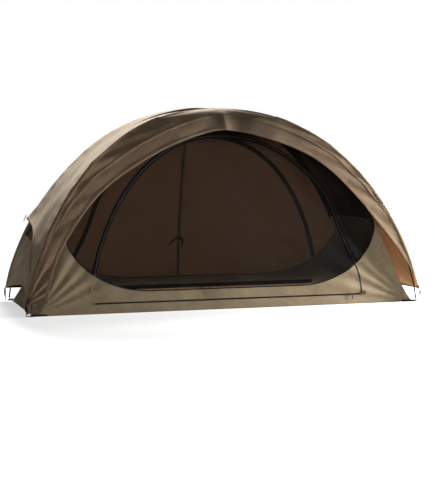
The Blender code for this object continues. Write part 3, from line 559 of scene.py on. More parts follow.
def door_outline(face, steps=220):
    """The line that the door zip's coil follows, in X and Z, pulled in a little where it closes."""
    def half_width(z):
        return DOOR_HALF * np.maximum(0.0, 1.0 - (z / DOOR_TOP) ** DOOR_UP) ** (1 / DOOR_OUT)

    corner_x = float(half_width(DOOR_SHOULDER)) - DOOR_CORNER
    corner_z = DOOR_FOOT + DOOR_CORNER
    right = [(corner_x + DOOR_CORNER * math.cos(t), corner_z + DOOR_CORNER * math.sin(t))
             for t in np.linspace(-math.pi / 2, 0.0, 10)]
    low = math.asin((DOOR_SHOULDER / DOOR_TOP) ** (DOOR_UP / 2))
    for angle in np.linspace(low, math.pi / 2, steps)[1:-1]:
        z = DOOR_TOP * math.sin(angle) ** (2 / DOOR_UP)
        right.append((float(half_width(z)), z))
    left = [(-x, z) for x, z in reversed(right)]
    closing = np.array(right)
    share = np.clip((closing[:, 1] - DRAWN_FROM) / DRAWN_OVER, 0.0, 1.0)
    closing[:, 0] -= DOOR_DRAWN_IN * np.sin(math.pi * share) ** 2
    outline = np.r_[closing, [(0.0, DOOR_TOP)], left]
    return outline if face == "front" else (outline * [-1, 1])[::-1]


def sill_line(face):
    """The line where the tan wall ends and the netting begins, in X and Z."""
    turn = np.linspace(0.0, math.pi / 2, 60)
    shift = -SILL_ASIDE if face == "front" else SILL_ASIDE
    right = np.c_[SILL_FLAT + SILL_RISE * np.sin(turn), WALL_TOP - (WALL_TOP - SILL_LOW) * np.cos(turn)]
    return np.r_[(right * [-1, 1])[::-1], right] + [shift, 0]


def sill_outline(face):
    """The area below the sill line."""
    return np.r_[sill_line(face), [(1.4, WALL_TOP), (1.4, -0.3), (-1.4, -0.3), (-1.4, WALL_TOP)]]


DOOR = {face: door_outline(face) for face in ("front", "back")}
SILL = {face: sill_outline(face) for face in ("front", "back")}


def on_long_faces(params, outlines, elsewhere):
    """Distance inside each long face's outline, and the given value on the two ends."""
    side = np.minimum(np.floor(params[:, 0]), 3).astype(int)
    value = np.array(np.broadcast_to(elsewhere, len(params)), float)
    points = ring_point(params[:, 0], params[:, 1], inner_reach, INNER_FILLET)[:, [0, 2]]
    for face in ("front", "back"):
        there = side == FACES[face]
        value[there] = signed_distance(points[there], outlines[face])
    return value


def below_sill(params):
    """The field of the cloth below the sill, which is above zero there."""
    return on_long_faces(params, SILL, WALL_TOP - params[:, 1])


def above_sill(params):
    """The field of the netting above the sill."""
    return -below_sill(params)


def in_door(margin):
    """The field of a piece that ends the given margin inside a door's zip line."""
    return lambda params: on_long_faces(params, DOOR, -1.0) - margin


def round_door(margin):
    """The field of a piece that ends the given margin outside a door's zip line."""
    return lambda params: -on_long_faces(params, DOOR, -1.0) - margin


inner_columns = np.unique(np.r_[np.linspace(0, 1, 131), 1 + np.linspace(0, 1, 47), 2 + np.linspace(0, 1, 131),
                                3 + np.linspace(0, 1, 47)])
wall_rows = np.linspace(0.0022, WALL_TOP, 42)

params, cells = pattern_piece(inner_columns, wall_rows, below_sill, round_door(COIL_HALF))
walls = cloth_mesh("inner_walls", params, cells, inner_at, inner_reach, INNER_FILLET)
dress(walls, wall_cloth, "inner_tent", "wall_cloth", "front_wall", "back_wall", "left_wall", "right_wall")

# Netting of the inner tent. Black insect netting, knitted of fine yarn, closes each face above the wall and
# hangs from the clips. It looks nearly black on both ends and at the crown; it is drawn closer there, which
# paints that shade.

NET_TO_COIL = 0.008
NET_THICKNESS = 0.0003
MESH_PITCH = 1.2 * MM


def ring_rows(low, height, rows):
    """Heights from low to just short of the apex, closer together where the arch bends over."""
    start = math.asin((low / height) ** (ARCH_UP / 2))
    angle = np.linspace(start, math.acos(0.006), rows + 1)
    return height * np.sin(angle) ** (2 / ARCH_UP)


def knitted(name, yarn_share, crown_share):
    """Netting whose yarns fill the given share of its pitch, and another share of it at the crown, where it
    paints shade.
    """
    material, shader = start_material(name, 0.8)
    shader.inputs["Base Color"].default_value = linear("0E0C0B")
    shader.inputs["Specular IOR Level"].default_value = 0.1
    uv = add_node(material, "ShaderNodeUVMap", uv_map="cloth").outputs[0]
    turned = add_node(material, "ShaderNodeVectorRotate", {"Vector": uv, "Angle": math.radians(22)})
    axes = add_node(material, "ShaderNodeSeparateXYZ", {0: turned.outputs[0]})
    place = add_node(material, "ShaderNodeTexCoord").outputs["Object"]
    height = add_node(material, "ShaderNodeSeparateXYZ", {0: place}).outputs["Z"]
    # Towards the crown the yarns fill more of the pitch, which paints the shade up there.
    closer = add_node(material, "ShaderNodeMapRange", {"Value": height, "From Min": 0.84, "From Max": 0.93,
                                                       "To Min": yarn_share, "To Max": crown_share})
    yarns = []
    for axis in ("X", "Y"):
        turns = add_node(material, "ShaderNodeMath", {0: axes.outputs[axis], 1: 1 / MESH_PITCH},
                         operation="MULTIPLY")
        share = add_node(material, "ShaderNodeMath", {0: turns.outputs[0]}, operation="FRACT")
        yarns.append(add_node(material, "ShaderNodeMath", {0: share.outputs[0], 1: closer.outputs[0]},
                              operation="LESS_THAN"))
    yarn = add_node(material, "ShaderNodeMath", {0: yarns[0].outputs[0], 1: yarns[1].outputs[0]},
                    operation="MAXIMUM")
    wire(material, yarn.outputs[0], shader.inputs["Alpha"])
    return material


# Black polyester netting, open and matt: the yarns lie askew and fill a fifth of its 1.2 mm pitch, or more
# than half of it on the ends and at the crown, where the closer yarns paint the shade that falls there
netting = knitted("insect_netting_black", 0.21, 0.60)
close_netting_and_shade = knitted("insect_netting_close_and_shade", 0.55, 0.60)

net_rows = np.r_[np.linspace(SILL_LOW - 0.004, WALL_TOP, 30), ring_rows(WALL_TOP, INNER_HEIGHT, 46)[1:]]
params, cells = pattern_piece(inner_columns, net_rows, above_sill, round_door(NET_TO_COIL))
for face, side in FACES.items():
    own = [cell for cell in cells if side <= params[list(cell), 0].mean() < side + 1]
    net = cloth_mesh(f"{face}_netting", params, own, inner_at, inner_reach, INNER_FILLET, NET_THICKNESS)
    # The two ends take the closer netting, which paints the shade that falls on them.
    dress(net, close_netting_and_shade if side % 2 else netting, "inner_tent", "insect_mesh", f"{face}_mesh")

# Doors. Each long side has a D-shaped door of netting over a cloth foot. It is zipped in all round but for
# a sewn hinge at one end of the foot, and its netting folds down to the foot when it is open.


def evenly(line, step):
    """The same flat line with a point about every step metres."""
    line = np.asarray(line, float)
    length = np.r_[0.0, np.cumsum(np.linalg.norm(np.diff(line, axis=0), axis=1))]
    at = np.linspace(0.0, length[-1], max(2, int(round(length[-1] / step)) + 1))
    return np.c_[tuple(np.interp(at, length, line[:, k]) for k in range(line.shape[1]))]


def surface_path(at, c, z, lift=0.0):
    """Points along a line of (c, z) on a cloth surface, lifted off it, and the surface's normals there."""
    c, z = np.asarray(c, float), np.asarray(z, float)
    points = at(c, z, lift)
    normals = at(c, z, lift + 0.001) - at(c, z, lift)
    return points, normals / np.linalg.norm(normals, axis=1, keepdims=True)


def inner_line(face, line, lift):
    """Points and normals of a flat line, laid on one face of the inner tent and lifted off it."""
    c = ring_place(face, line[:, 0], line[:, 1], inner_reach, INNER_FILLET)
    return surface_path(inner_at, c, line[:, 1], lift)


def path_band(name, points, normals, width, thickness):
    """A flat band with rounded edges along points; each point's normal looks out of its face."""
    points, normals = np.asarray(points, float), np.asarray(normals, float)
    run = np.gradient(points, axis=0)
    run /= np.linalg.norm(run, axis=1, keepdims=True)
    wide = np.cross(normals, run)
    wide /= np.linalg.norm(wide, axis=1, keepdims=True)
    out = np.cross(run, wide)
    half, thick = width / 2, thickness / 2
    profile = [(-half, 0), (-half + thick, thick), (0, thick), (half - thick, thick),
               (half, 0), (half - thick, -thick), (0, -thick), (-half + thick, -thick)]
    verts, faces = [], []
    count, sides = len(points), len(profile)
    for point, w, o in zip(points, wide, out):
        verts += [point + w * p + o * q for p, q in profile]
    for i in range(0, (count - 1) * sides, sides):
        for k in range(sides):
            m = (k + 1) % sides
            faces.append((i + k, i + m, i + sides + m, i + sides + k))
    faces += [tuple(range(sides)), tuple(reversed(range((count - 1) * sides, count * sides)))]
    mesh = bpy.data.meshes.new(name)
    mesh.from_pydata([tuple(v) for v in verts], [], faces)
    length = np.r_[0.0, np.cumsum(np.linalg.norm(np.diff(points, axis=0), axis=1))]
    layer = mesh.uv_layers.new(name="cloth")
    for polygon in mesh.polygons:
        for loop in polygon.loop_indices:
            vertex = mesh.loops[loop].vertex_index
            layer.data[loop].uv = (profile[vertex % sides][0], length[vertex // sides])
    bm = bmesh.new()
    bm.from_mesh(mesh)
    bmesh.ops.recalc_face_normals(bm, faces=bm.faces)
    bm.to_mesh(mesh)
    bm.free()
    mesh.shade_smooth()
    mesh.set_sharp_from_angle(angle=math.radians(40))
    piece = bpy.data.objects.new(name, mesh)
    bpy.context.scene.collection.objects.link(piece)
    return piece


def door_lines(face):
    """The zip's own line, from the foot's far end round to the sill, and the sewn hinge between its ends."""
    outline = DOOR["front"]
    sewn = (outline[:, 0] < 0) & (signed_distance(outline, SILL["front"]) > -0.002)
    zipped = evenly(np.r_[outline[-1:], outline[~sewn]], 0.008)
    hinge = evenly(outline[np.flatnonzero(sewn)[0] - 1:], 0.008)
    return (zipped, hinge) if face == "front" else ((zipped * [-1, 1])[::-1], (hinge * [-1, 1])[::-1])


for face in ("front", "back"):
    start = FACES[face]
    door_columns = np.linspace(start, start + 1 - 1e-7, 131)
    params, cells = pattern_piece(door_columns, np.linspace(0.045, 0.21, 18), below_sill, in_door(COIL_HALF))
    foot = cloth_mesh(f"{face}_door_foot_cloth", params, cells, inner_at, inner_reach, INNER_FILLET)
    dress(foot, wall_cloth, "inner_tent", "wall_cloth", f"{face}_door_foot")

    params, cells = pattern_piece(door_columns, net_rows[net_rows < 0.9], above_sill, in_door(NET_TO_COIL))
    door = cloth_mesh(f"{face}_door_netting", params, cells, inner_at, inner_reach, INNER_FILLET, NET_THICKNESS)
    dress(door, netting, f"{face}_door", "insect_mesh", f"{face}_door")
    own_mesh(door)

    route = inner_line(face, door_lines(face)[1], -0.0006)
    hinge = path_band(f"{face}_door_hinge_seam", *route, width=0.0120, thickness=0.0016)
    dress(hinge, wall_cloth, "inner_tent", "wall_cloth")

# Door zips. Each is a nylon coil on black woven tape, sewn into the door's line, with a brown tab of
# grosgrain over its end. The slider is die-cast and stands at the start of the straight foot.

ZIP_TAPE = {"width": 0.024, "thickness": 0.0008}
ZIP_COIL = {"width": 0.0072, "thickness": 0.0030}
ZIP_TEETH = {"pitch": 0.0030, "length": 0.0027, "radius": 0.0028}


def stitches(name, points, normals, pitch=0.006, length=0.0038, radius=0.0004):
    """A row of lockstitches: one pointed bead of thread for each stitch that shows."""
    points = np.asarray(points, float)
    run = np.r_[0.0, np.cumsum(np.linalg.norm(np.diff(points, axis=0), axis=1))]
    at = np.arange(pitch / 2, run[-1] - pitch / 2, pitch)
    spot = np.c_[tuple(np.interp(at, run, points[:, k]) for k in range(3))]
    ahead = np.c_[tuple(np.interp(at + 0.001, run, points[:, k]) for k in range(3))]
    out = np.c_[tuple(np.interp(at, run, np.asarray(normals)[:, k]) for k in range(3))]
    along = ahead - spot
    along /= np.linalg.norm(along, axis=1, keepdims=True)
    wide = np.cross(out, along)
    out = np.cross(along, wide)
    ring = [wide * radius, out * radius, -wide * radius, -out * radius]
    half = along * length / 2
    verts = np.stack([spot - half] + [spot + r for r in ring] + [spot + half], axis=1)
    base = [(0, 2, 1), (0, 3, 2), (0, 4, 3), (0, 1, 4), (5, 1, 2), (5, 2, 3), (5, 3, 4), (5, 4, 1)]
    faces = [tuple(6 * i + k for k in face) for i in range(len(spot)) for face in base]
    mesh = bpy.data.meshes.new(name)
    mesh.from_pydata(verts.reshape(-1, 3).tolist(), [], faces)
    mesh.shade_smooth()
    piece = bpy.data.objects.new(name, mesh)
    bpy.context.scene.collection.objects.link(piece)
    return piece


# Woven polyester tape: a dense black weave, matt and almost without a sheen
tape_cloth = woven("woven_tape_black", "0D0D0C", "151514", 1.2 * MM, 0.7)

# Grosgrain, a ribbed polyester ribbon: brown and matt, with ribs 1.2 mm apart
tape_brown = woven("grosgrain_brown", "4A3D31", "574839", 1.2 * MM, 0.7)

# Nylon coil of the zips: drawn monofilament, black and half glossy
coil_nylon = mottled("nylon_coil_black", "0C0C0C", "191817", 0.42, patch=2.5 * MM)

# Die-cast zinc under black stove enamel: hard, smooth and half glossy, a little uneven every 3 mm
enamel = mottled("enamelled_zinc", "0F0F10", "1D1C1B", 0.34, patch=3.33 * MM, grain=3.33 * MM, relief=0.2)
kept_look(enamel, "front_door_slider", "back_door_slider")

for face in ("front", "back"):
    line = door_lines(face)[0]
    tape = path_band(f"{face}_door_zip_tape", *inner_line(face, line, -0.0026), **ZIP_TAPE)
    dress(tape, tape_cloth, "inner_tent", "zip_black", f"{face}_door_zip")
    coil = path_band(f"{face}_door_zip_coil", *inner_line(face, line, -0.0008), **ZIP_COIL)
    dress(coil, tape_cloth, "inner_tent", "zip_black")
    teeth = stitches(f"{face}_door_zip_teeth", *inner_line(face, line, 0.0003), **ZIP_TEETH)
    dress(teeth, coil_nylon, "inner_tent", "zip_black")
    end = np.array([[0.733, 0.057], [0.752, 0.055]]) * [1 if face == "front" else -1, 1]
    stop = path_band(f"{face}_door_zip_end", *inner_line(face, end, 0.0008), width=0.022, thickness=0.0014)
    dress(stop, tape_brown, "inner_tent", "zip_black")

# Sill bindings. Black woven tape, 6 mm wide when folded, covers the seam between the wall and the netting
# on all four faces.

for face in ("front", "back", "left", "right"):
    if face in ("front", "back"):
        edge = evenly(sill_line(face), 0.008)
        edge = edge[np.abs(edge[:, 0]) < inner_reach(edge[:, 1]) * ALONG - 0.012]
    else:
        half = float(inner_reach(WALL_TOP)) * ACROSS - 0.011
        edge = evenly([[-half, WALL_TOP], [half, WALL_TOP]], 0.010)
    binding = path_band(f"{face}_sill_binding", *inner_line(face, edge, -0.0002), width=0.006, thickness=0.0013)
    dress(binding, tape_cloth, "inner_tent", "insect_mesh")

# Gathers. The front netting is drawn up beside the door's zip, in short folds three layers deep that fan
# out from it.


def smooth(points, parts=12):
    """A smooth line through points, with parts steps from each to the next."""
    points = np.asarray(points, float)
    before = np.r_[[2 * points[0] - points[1]], points[:-1]]
    after = np.r_[points[1:], [2 * points[-1] - points[-2]]]
    run = (after - before) / 2
    t = np.linspace(0.0, 1.0, parts, endpoint=False)[:, None]
    line = [(2 * t ** 3 - 3 * t ** 2 + 1) * a + (t ** 3 - 2 * t ** 2 + t) * ra
            + (3 * t ** 2 - 2 * t ** 3) * b + (t ** 3 - t ** 2) * rb
            for a, b, ra, rb in zip(points, points[1:], run, run[1:])]
    return np.concatenate(line + [points[-1:]])


for number, z in enumerate(np.linspace(0.27, 0.47, 9)):
    near = DOOR["front"][np.argmin(np.hypot(DOOR["front"][:, 0] - 0.7, DOOR["front"][:, 1] - z))]
    reachout = 0.060 + 0.020 * math.sin(2.4 * number)
    start = near + [0.013, 0.0]
    fold = smooth((start, start + [0.45 * reachout, -0.30 * reachout], start + [reachout, -0.85 * reachout]), 8)
    fold = fold[signed_distance(fold, SILL["front"]) < -0.012]
    width = 0.012 + 0.003 * math.cos(3.1 * number)
    gather = path_band(f"front_net_gather_{number + 1}", *inner_line("front", fold, 0.0014), width, 0.0018)
    dress(gather, close_netting_and_shade, "inner_tent", "insect_mesh")

# Seam tapes. Black tape, 25 mm wide, covers the inner tent's four upright seams, where the clips are
# sewn on. The black tape also paints the shade that falls in a band along these seams.

for face in ("front", "back"):
    for sign in (-1, 1):
        z = np.linspace(WALL_TOP - 0.02, 0.965, 160)
        flat_run = ring_size(np.array(FACES[face]), z, inner_reach, INNER_FILLET)[3]
        route = inner_line(face, np.c_[sign * (flat_run - 0.0135), z], 0.0007)
        which = "right" if sign > 0 else "left"
        band = path_band(f"{face}_{which}_seam_tape_and_shade", *route, width=0.025, thickness=0.0010)
        dress(band, tape_cloth, "inner_tent", "insect_mesh")

# Fly. One canopy of coated taffeta, sewn along the pole lines. Its front is cut away in an arch, its left
# end has a low arched hem under a vent hood, and the back and the right end come down to the corners.

FLY_REACH = POLE_REACH + 0.030
FLY_HEIGHT = POLE_HEIGHT + 0.025
FLY_HEM = 0.0665
FLY_FILLET = 0.012
FLY_SAG = 0.0045
FLY_WAVES = [(0.0016, 1.3, 0.7, 0.4), (0.0011, -2.1, 1.6, 2.0), (0.0008, 3.7, 2.3, 1.1),
             (0.0005, -6.1, 4.4, 0.2)]
SEAM_DIP, SEAM_RISE = 0.009, 0.005
HOOD_LIFT, HOOD_HOLLOW = 0.024, 0.030
HOOD_TOP = 0.434

# The front hem in X and Z and the left end's hem in Y and Z, from foot to foot
FRONT_HEM = smooth((
    (-0.958, 0.0), (-0.953, 0.090), (-0.937, 0.169), (-0.901, 0.275), (-0.868, 0.340), (-0.818, 0.418),
    (-0.768, 0.487), (-0.708, 0.558), (-0.635, 0.625), (-0.555, 0.684), (-0.475, 0.733), (-0.395, 0.778),
    (-0.290, 0.829), (-0.172, 0.874), (-0.093, 0.899), (-0.035, 0.912), (0.018, 0.917), (0.070, 0.913),
    (0.124, 0.904), (0.200, 0.885), (0.285, 0.859), (0.380, 0.825), (0.473, 0.780), (0.545, 0.731),
    (0.625, 0.660), (0.706, 0.574), (0.770, 0.498), (0.848, 0.400), (0.895, 0.342), (0.940, 0.283),
    (0.990, 0.206), (1.033, 0.125), (1.042, 0.0665), (1.042, 0.0)))
END_HEM = smooth((
    (-0.337, 0.0), (-0.330, 0.070), (-0.312, 0.083), (-0.270, 0.105), (-0.200, 0.123), (-0.122, 0.130),
    (-0.036, 0.127), (0.083, 0.112), (0.207, 0.093), (0.272, 0.084), (0.325, 0.075), (0.333, 0.0)))
front_cut = np.r_[FRONT_HEM, [[1.042, -0.3], [-0.958, -0.3]]]
end_cut = np.r_[END_HEM, [[0.333, -0.3], [-0.337, -0.3]]]

# The brim of the vent hood on the left end, in Y and Z, from the near leg to the far pole
HOOD_BRIM = smooth((
    (-0.306, 0.140), (-0.290, 0.180), (-0.250, 0.235), (-0.200, 0.290), (-0.118, 0.355), (-0.050, 0.383),
    (0.050, 0.404), (0.150, 0.418), (0.255, 0.430), (0.330, HOOD_TOP), (0.400, HOOD_TOP)))
under_hood = np.r_[HOOD_BRIM, [[0.400, -0.3], [-0.306, -0.3]]]


def fly_reach(z):
    """The arch of the fly."""
    return arch_reach(z, FLY_REACH, FLY_HEIGHT)


TOP_OF[fly_reach] = FLY_HEIGHT


def foot_pulls(side, s, edge, up):
    """Pull lines that fan out from the fly's feet."""
    rise = up - np.where(side % 2 == 0, 0.0680, 0.0675)
    angle, far = np.arctan2(rise, edge), np.hypot(rise, edge)
    pull = 0.0042 * np.sin(15.0 * angle + 1.3 * side + 2.0 * (s > 0)) * np.exp(-far / 0.24)
    return pull * faded(far, 0.0, 0.07) * faded(edge, 0.0, 0.03)


def seam_folds(side, s, edge, up, z):
    """Puckers along the seams over the poles, and slanting folds beside them on the front."""
    pucker = 0.0018 * np.sin(2 * math.pi * up / 0.083 + 2.1 * side)
    pucker = pucker + 0.0026 * np.sin(2 * math.pi * up / 0.21 + s)
    slant = 0.0026 * np.sin(2 * math.pi * (up - 0.35 * edge) / 0.13 + 4.0 * s)
    slant = slant * np.exp(-((edge - 0.07) / 0.05) ** 2) * faded(z, 0.25, 0.5) * (side == 0)
    folds = pucker * np.exp(-edge / 0.05) * faded(edge, 0.002, 0.02) + slant
    return folds * faded(fly_reach(z), 0.1, 0.4)


def crown_shape(side, s, edge, a, z):
    """The two left seams near the crown, the near one sunk and the far one raised, and the front's peak."""
    share = np.clip(np.abs(a) / (FLY_REACH * ALONG), 0.0, 1.0)
    drop = np.maximum(FLY_HEIGHT * (1 - share ** ARCH_OUT) ** (1 / ARCH_UP) - z, 0.0)
    near_left = ((side == 0) & (s < 0)) | ((side == 3) & (s > 0))
    far_left = ((side == 2) & (s > 0)) | ((side == 3) & (s < 0))
    crown = np.exp(-(edge / 0.10) ** 2) * faded(z, 0.72, 0.90) * faded(fly_reach(z), 0.02, 0.14)
    peak = 0.0032 * np.exp(-(np.abs(a - 0.030) / 0.028) ** 1.5) * faded(z, 0.86, 0.93) * faded(drop, 0.01, 0.03)
    return crown * (SEAM_RISE * far_left - SEAM_DIP * near_left) + peak * (side == 0)


def hood_shape(c, z, side, s, edge):
    """The vent hood: a brim that stands out, the hollow under it, and its far corner round on the back."""
    y = ring_point(c, z, fly_reach, FLY_FILLET)[..., 1]
    flat = np.c_[y.ravel(), np.broadcast_to(z, y.shape).ravel()]
    inside = signed_distance(flat, under_hood).reshape(y.shape)
    spread = 0.045 + 0.075 * faded(-z, -0.40, -0.30)
    brim = HOOD_LIFT * np.exp(np.minimum(inside, 0.0) / spread) * (1 - faded(inside, 0.0, 0.010))
    hollow = -HOOD_HOLLOW * faded(inside, 0.0, 0.012) * np.exp(-np.maximum(inside, 0.0) / 0.16)
    near_leg = faded(edge, 0.0, 0.11) * (s > 0) + (s <= 0)
    on_end = (brim * near_leg + hollow * (1 - s ** 2) ** 0.7) * faded(z, 0.14, 0.30)
    above = HOOD_TOP - z
    corner = HOOD_LIFT * np.exp(np.minimum(above, 0.0) / 0.045) * (1 - faded(above, 0.0, 0.010))
    corner = corner * np.exp(-edge / 0.03)
    return np.where(side == 3, on_end, 0.0) + np.where((side == 2) & (s > 0), corner, 0.0)


def fly_dent(c, z):
    """How far the fly stands off its arch: sag, pull lines, folds along the seams and the vent hood."""
    a, up = along_face(c, z, fly_reach, FLY_FILLET)
    side = np.minimum(np.floor(c), 3).astype(int)
    s = 2 * (c - side) - 1
    edge = ring_size(side, z, fly_reach, FLY_FILLET)[3] * (1 - np.abs(s))
    dent = slack(c, z, fly_reach) * (-FLY_SAG + waves(a, up, FLY_WAVES)) + foot_pulls(side, s, edge, up)
    dent = dent + seam_folds(side, s, edge, up, z) + crown_shape(side, s, edge, a, z)
    return dent + hood_shape(c, z, side, s, edge)


def fly_at(c, z, lift=0.0):
    """Points on the fly."""
    return on_cloth(c, z, fly_reach, FLY_FILLET, fly_dent, lift)


def vent_inside(params):
    """Distance inside the vent's opening in the left end, close below the hood's brim."""
    point = ring_point(params[:, 0], params[:, 1], fly_reach, FLY_FILLET)[:, [1, 2]]
    below = signed_distance(point, under_hood)
    room = fly_reach(params[:, 1]) * ACROSS - 0.030 - np.abs(point[:, 0])
    there = np.minimum(np.minimum(below - 0.014, 0.072 - below), np.minimum(point[:, 0] + 0.110, room))
    return np.where(np.minimum(np.floor(params[:, 0]), 3) == 3, there, -1.0)


def fly_kept(params):
    """Above zero where the fly's cloth is left, clear of its front cut, its end cut and the vent."""
    point = ring_point(params[:, 0], params[:, 1], fly_reach, FLY_FILLET)
    side = np.minimum(np.floor(params[:, 0]), 3).astype(int)
    kept = np.ones(len(params))
    front, left = side == 0, side == 3
    kept[front] = -signed_distance(point[front][:, [0, 2]], front_cut)
    kept[left] = np.minimum(-signed_distance(point[left][:, [1, 2]], end_cut), -vent_inside(params[left]))
    return kept


def corner_dense(count, power=0.75):
    """Shares from 0 to 1 that are closer together at both ends."""
    s = np.linspace(-1, 1, count)
    return (1 + np.sign(s) * (1 - (1 - np.abs(s)) ** (1 / power))) / 2


# Polyester taffeta, dyed warm brown and coated inside: satin, with uneven light shining through it. The
# threads are drawn 0.7 mm apart, three times as coarse as they are, to show.
fly_cloth = woven("polyester_taffeta_brown", "6F5C4A", "77634F", 0.7 * MM, 0.85, 0.30)
let_through(fly_cloth, 0.75)

fly_columns = np.unique(np.r_[corner_dense(191), 1 + corner_dense(71), 2 + corner_dense(151),
                              3 + corner_dense(111)])
fly_rows = ring_rows(FLY_HEM, FLY_HEIGHT, 150)
params, cells = parameter_grid(fly_columns, fly_rows)
wide = len(fly_columns)
top_row = (len(fly_rows) - 1) * wide
params = np.r_[params, [[0.5, FLY_HEIGHT - 1e-5]]]
cells += [(top_row + i, top_row + i + 1, len(params) - 1) for i in range(wide - 1)]
params, cells = cut(params, cells, fly_kept)
canopy = cloth_mesh("fly_canopy", params, cells, fly_at, fly_reach, FLY_FILLET, thickness=0.0006)
dress(canopy, fly_cloth, "fly", "fly_cloth",
      *[f"fly_{face}_panel" for face in ("front", "left", "right", "back")])

# Vent. A strip of the inner tent's netting is sewn into the opening under the hood's brim, on the left end,
# and lets damp air out. Its black netting also paints the shade that falls under the hood.

params, cells = pattern_piece(3 + np.linspace(0.02, 0.98, 97), np.linspace(0.24, 0.45, 61),
                              lambda params: vent_inside(params) + 0.006)
vent = cloth_mesh("vent_netting_and_shade", params, cells, lambda c, z: fly_at(c, z, -0.0012), fly_reach, FLY_FILLET,
                  NET_THICKNESS)
dress(vent, netting, "fly", "insect_mesh")

# Hems and seams of the fly. A turned hem with two rows of stitches edges the front cut, a lapped seam runs
# above it, and black tape binds the straight hems.


def offset(line, distance):
    """A flat line moved to its left by distance."""
    run = np.gradient(line, axis=0)
    run /= np.maximum(np.linalg.norm(run, axis=1, keepdims=True), 1e-12)
    return line + distance * np.c_[-run[:, 1], run[:, 0]]


def fly_line(face, line, lift):
    """Points and normals of a flat line, laid on one face of the fly and lifted off it."""
    c = ring_place(face, line[:, 0], line[:, 1], fly_reach, FLY_FILLET)
    return surface_path(fly_at, c, line[:, 1], lift)


def trim(name, face, line, lift, width, thickness, material=fly_cloth, step=0.006):
    """A band sewn along a flat line on one face of the fly."""
    band = path_band(name, *fly_line(face, evenly(line, step), lift), width, thickness)
    dress(band, material, "fly", "fly_cloth")


def sewn(name, face, line, lift, thread):
    """A row of stitches along a flat line on one face of the fly."""
    row = stitches(name, *fly_line(face, evenly(line, 0.006), lift))
    dress(row, thread, "fly", "fly_cloth")


def over_hem(line, margin=0.002):
    """The part of a line that lies above the fly's foot by the margin."""
    return line[line[:, 1] > FLY_HEM + margin]


# Core-spun polyester thread, in the fly's brown and in black: fine and matt
fly_thread = woven("sewing_thread_brown", "54463A", "66574A", 0.4 * MM, 0.6, crease=0.0)
black_thread = woven("sewing_thread_black", "141312", "1E1C1B", 0.4 * MM, 0.6, crease=0.0)

front_line, end_line = over_hem(FRONT_HEM), over_hem(END_HEM, 0.006)
trim("front_hem_fold", "front", offset(front_line, 0.0068), 0.0003, width=0.0130, thickness=0.0018)
sewn("front_hem_stitch_low", "front", offset(front_line, 0.0022), 0.0012, fly_thread)
sewn("front_hem_stitch_high", "front", offset(front_line, 0.0112), 0.0012, fly_thread)
seam_line = over_hem(offset(FRONT_HEM, 0.072), 0.05)
limit = fly_reach(seam_line[:, 1]) * ALONG - 0.018
seam_line = seam_line[np.abs(seam_line[:, 0]) < limit]
trim("front_seam_lap", "front", offset(seam_line, 0.005), 0.0004, width=0.0100, thickness=0.0016)
sewn("front_seam_stitch_low", "front", seam_line, 0.0008, fly_thread)
sewn("front_seam_stitch_high", "front", offset(seam_line, 0.0085), 0.0013, fly_thread)
trim("end_hem_fold", "left", offset(end_line, 0.0065), 0.0002, width=0.0120, thickness=0.0018)
sewn("end_hem_stitch", "left", offset(end_line, 0.0105), 0.0011, fly_thread)
brim_line = HOOD_BRIM[(HOOD_BRIM[:, 1] > 0.17) & (HOOD_BRIM[:, 0] < 0.305)]
trim("hood_brim_fold", "left", offset(brim_line, 0.0050), 0.0006, width=0.0095, thickness=0.0026, step=0.004)
sewn("hood_brim_stitch_low", "left", offset(brim_line, 0.0080), 0.0020, fly_thread)
sewn("hood_brim_stitch_high", "left", offset(brim_line, 0.0190), 0.0004, fly_thread)
for face, half in (("right", ACROSS), ("back", ALONG)):
    reach = fly_reach(FLY_HEM + 0.006) * half - 0.010
    straight = np.array([[-reach, FLY_HEM + 0.006], [reach, FLY_HEM + 0.006]])
    trim(f"{face}_hem_tape", face, straight, 0.0, 0.0115, 0.0022, tape_cloth, 0.010)
    sewn(f"{face}_hem_stitch", face, straight + [0, 0.003], 0.0012, black_thread)

# Felled seams. The panels are joined over the poles by laps of the fly's own cloth with a row of brown
# stitches, on the edges of the front and of the back panel.

for face, low in (("front", (0.10, 0.16)), ("back", (0.09, 0.09))):
    for sign, foot_z in zip((-1, 1), low):
        z = np.linspace(foot_z, 0.985, 240)
        flat_run = ring_size(np.array(FACES[face]), z, fly_reach, FLY_FILLET)[3]
        ridge = np.c_[sign * (flat_run - 0.011), z]
        which = "right" if sign > 0 else "left"
        trim(f"{face}_{which}_ridge_lap", face, ridge, 0.0003, width=0.0105, thickness=0.0014)
        sewn(f"{face}_{which}_ridge_stitch", face, ridge - [sign * 0.0036, 0], 0.0009, fly_thread)

# Binding and hood tab. Black tape is folded round the end panel's edge by the far left pole, and a tab of
# webbing, 12 mm wide, is sewn on at the hood's far corner. With them the fly is whole.

z = np.linspace(0.074, 0.425, 60)
edge = sweep("end_panel_binding", fly_at(np.full(len(z), 3.004), z, -0.0008), 0.0034, sides=12)
dress(edge, tape_cloth, "fly", "webbing_black")
tip = fly_at(np.array([3.01]), np.array([0.436]))[0]
away = np.array([-ALONG, ACROSS, 0.0])
tab = np.array([tip + [0, 0, 0.016] - away * 0.004, tip + away * 0.004 + [0, 0, 0.006],
                tip + away * 0.010 - [0, 0, 0.006], tip + away * 0.013 - [0, 0, 0.020]])
tab = smooth(tab, 6)
aside = np.array([ACROSS, ALONG, 0.0])
normal = np.cross(aside, np.gradient(tab, axis=0))
normal /= np.linalg.norm(normal, axis=1, keepdims=True)
tab = path_band("hood_corner_tab", tab, normal, width=0.012, thickness=0.0022)
dress(tab, webbing, "fly", "webbing_black")

# Back zip of the fly. A coil zip on brown woven tape is let into a slit in the back panel, with its slider
# at the foot. Inside, two flat ties of webbing with moulded toggles hold the panel when it is rolled up.

ZIP_ASIDE, ZIP_TOP = -0.09, 0.86
TOGGLE_RADIUS, TOGGLE_LENGTH, TOGGLE_WAIST = 0.0036, 0.020, 0.62

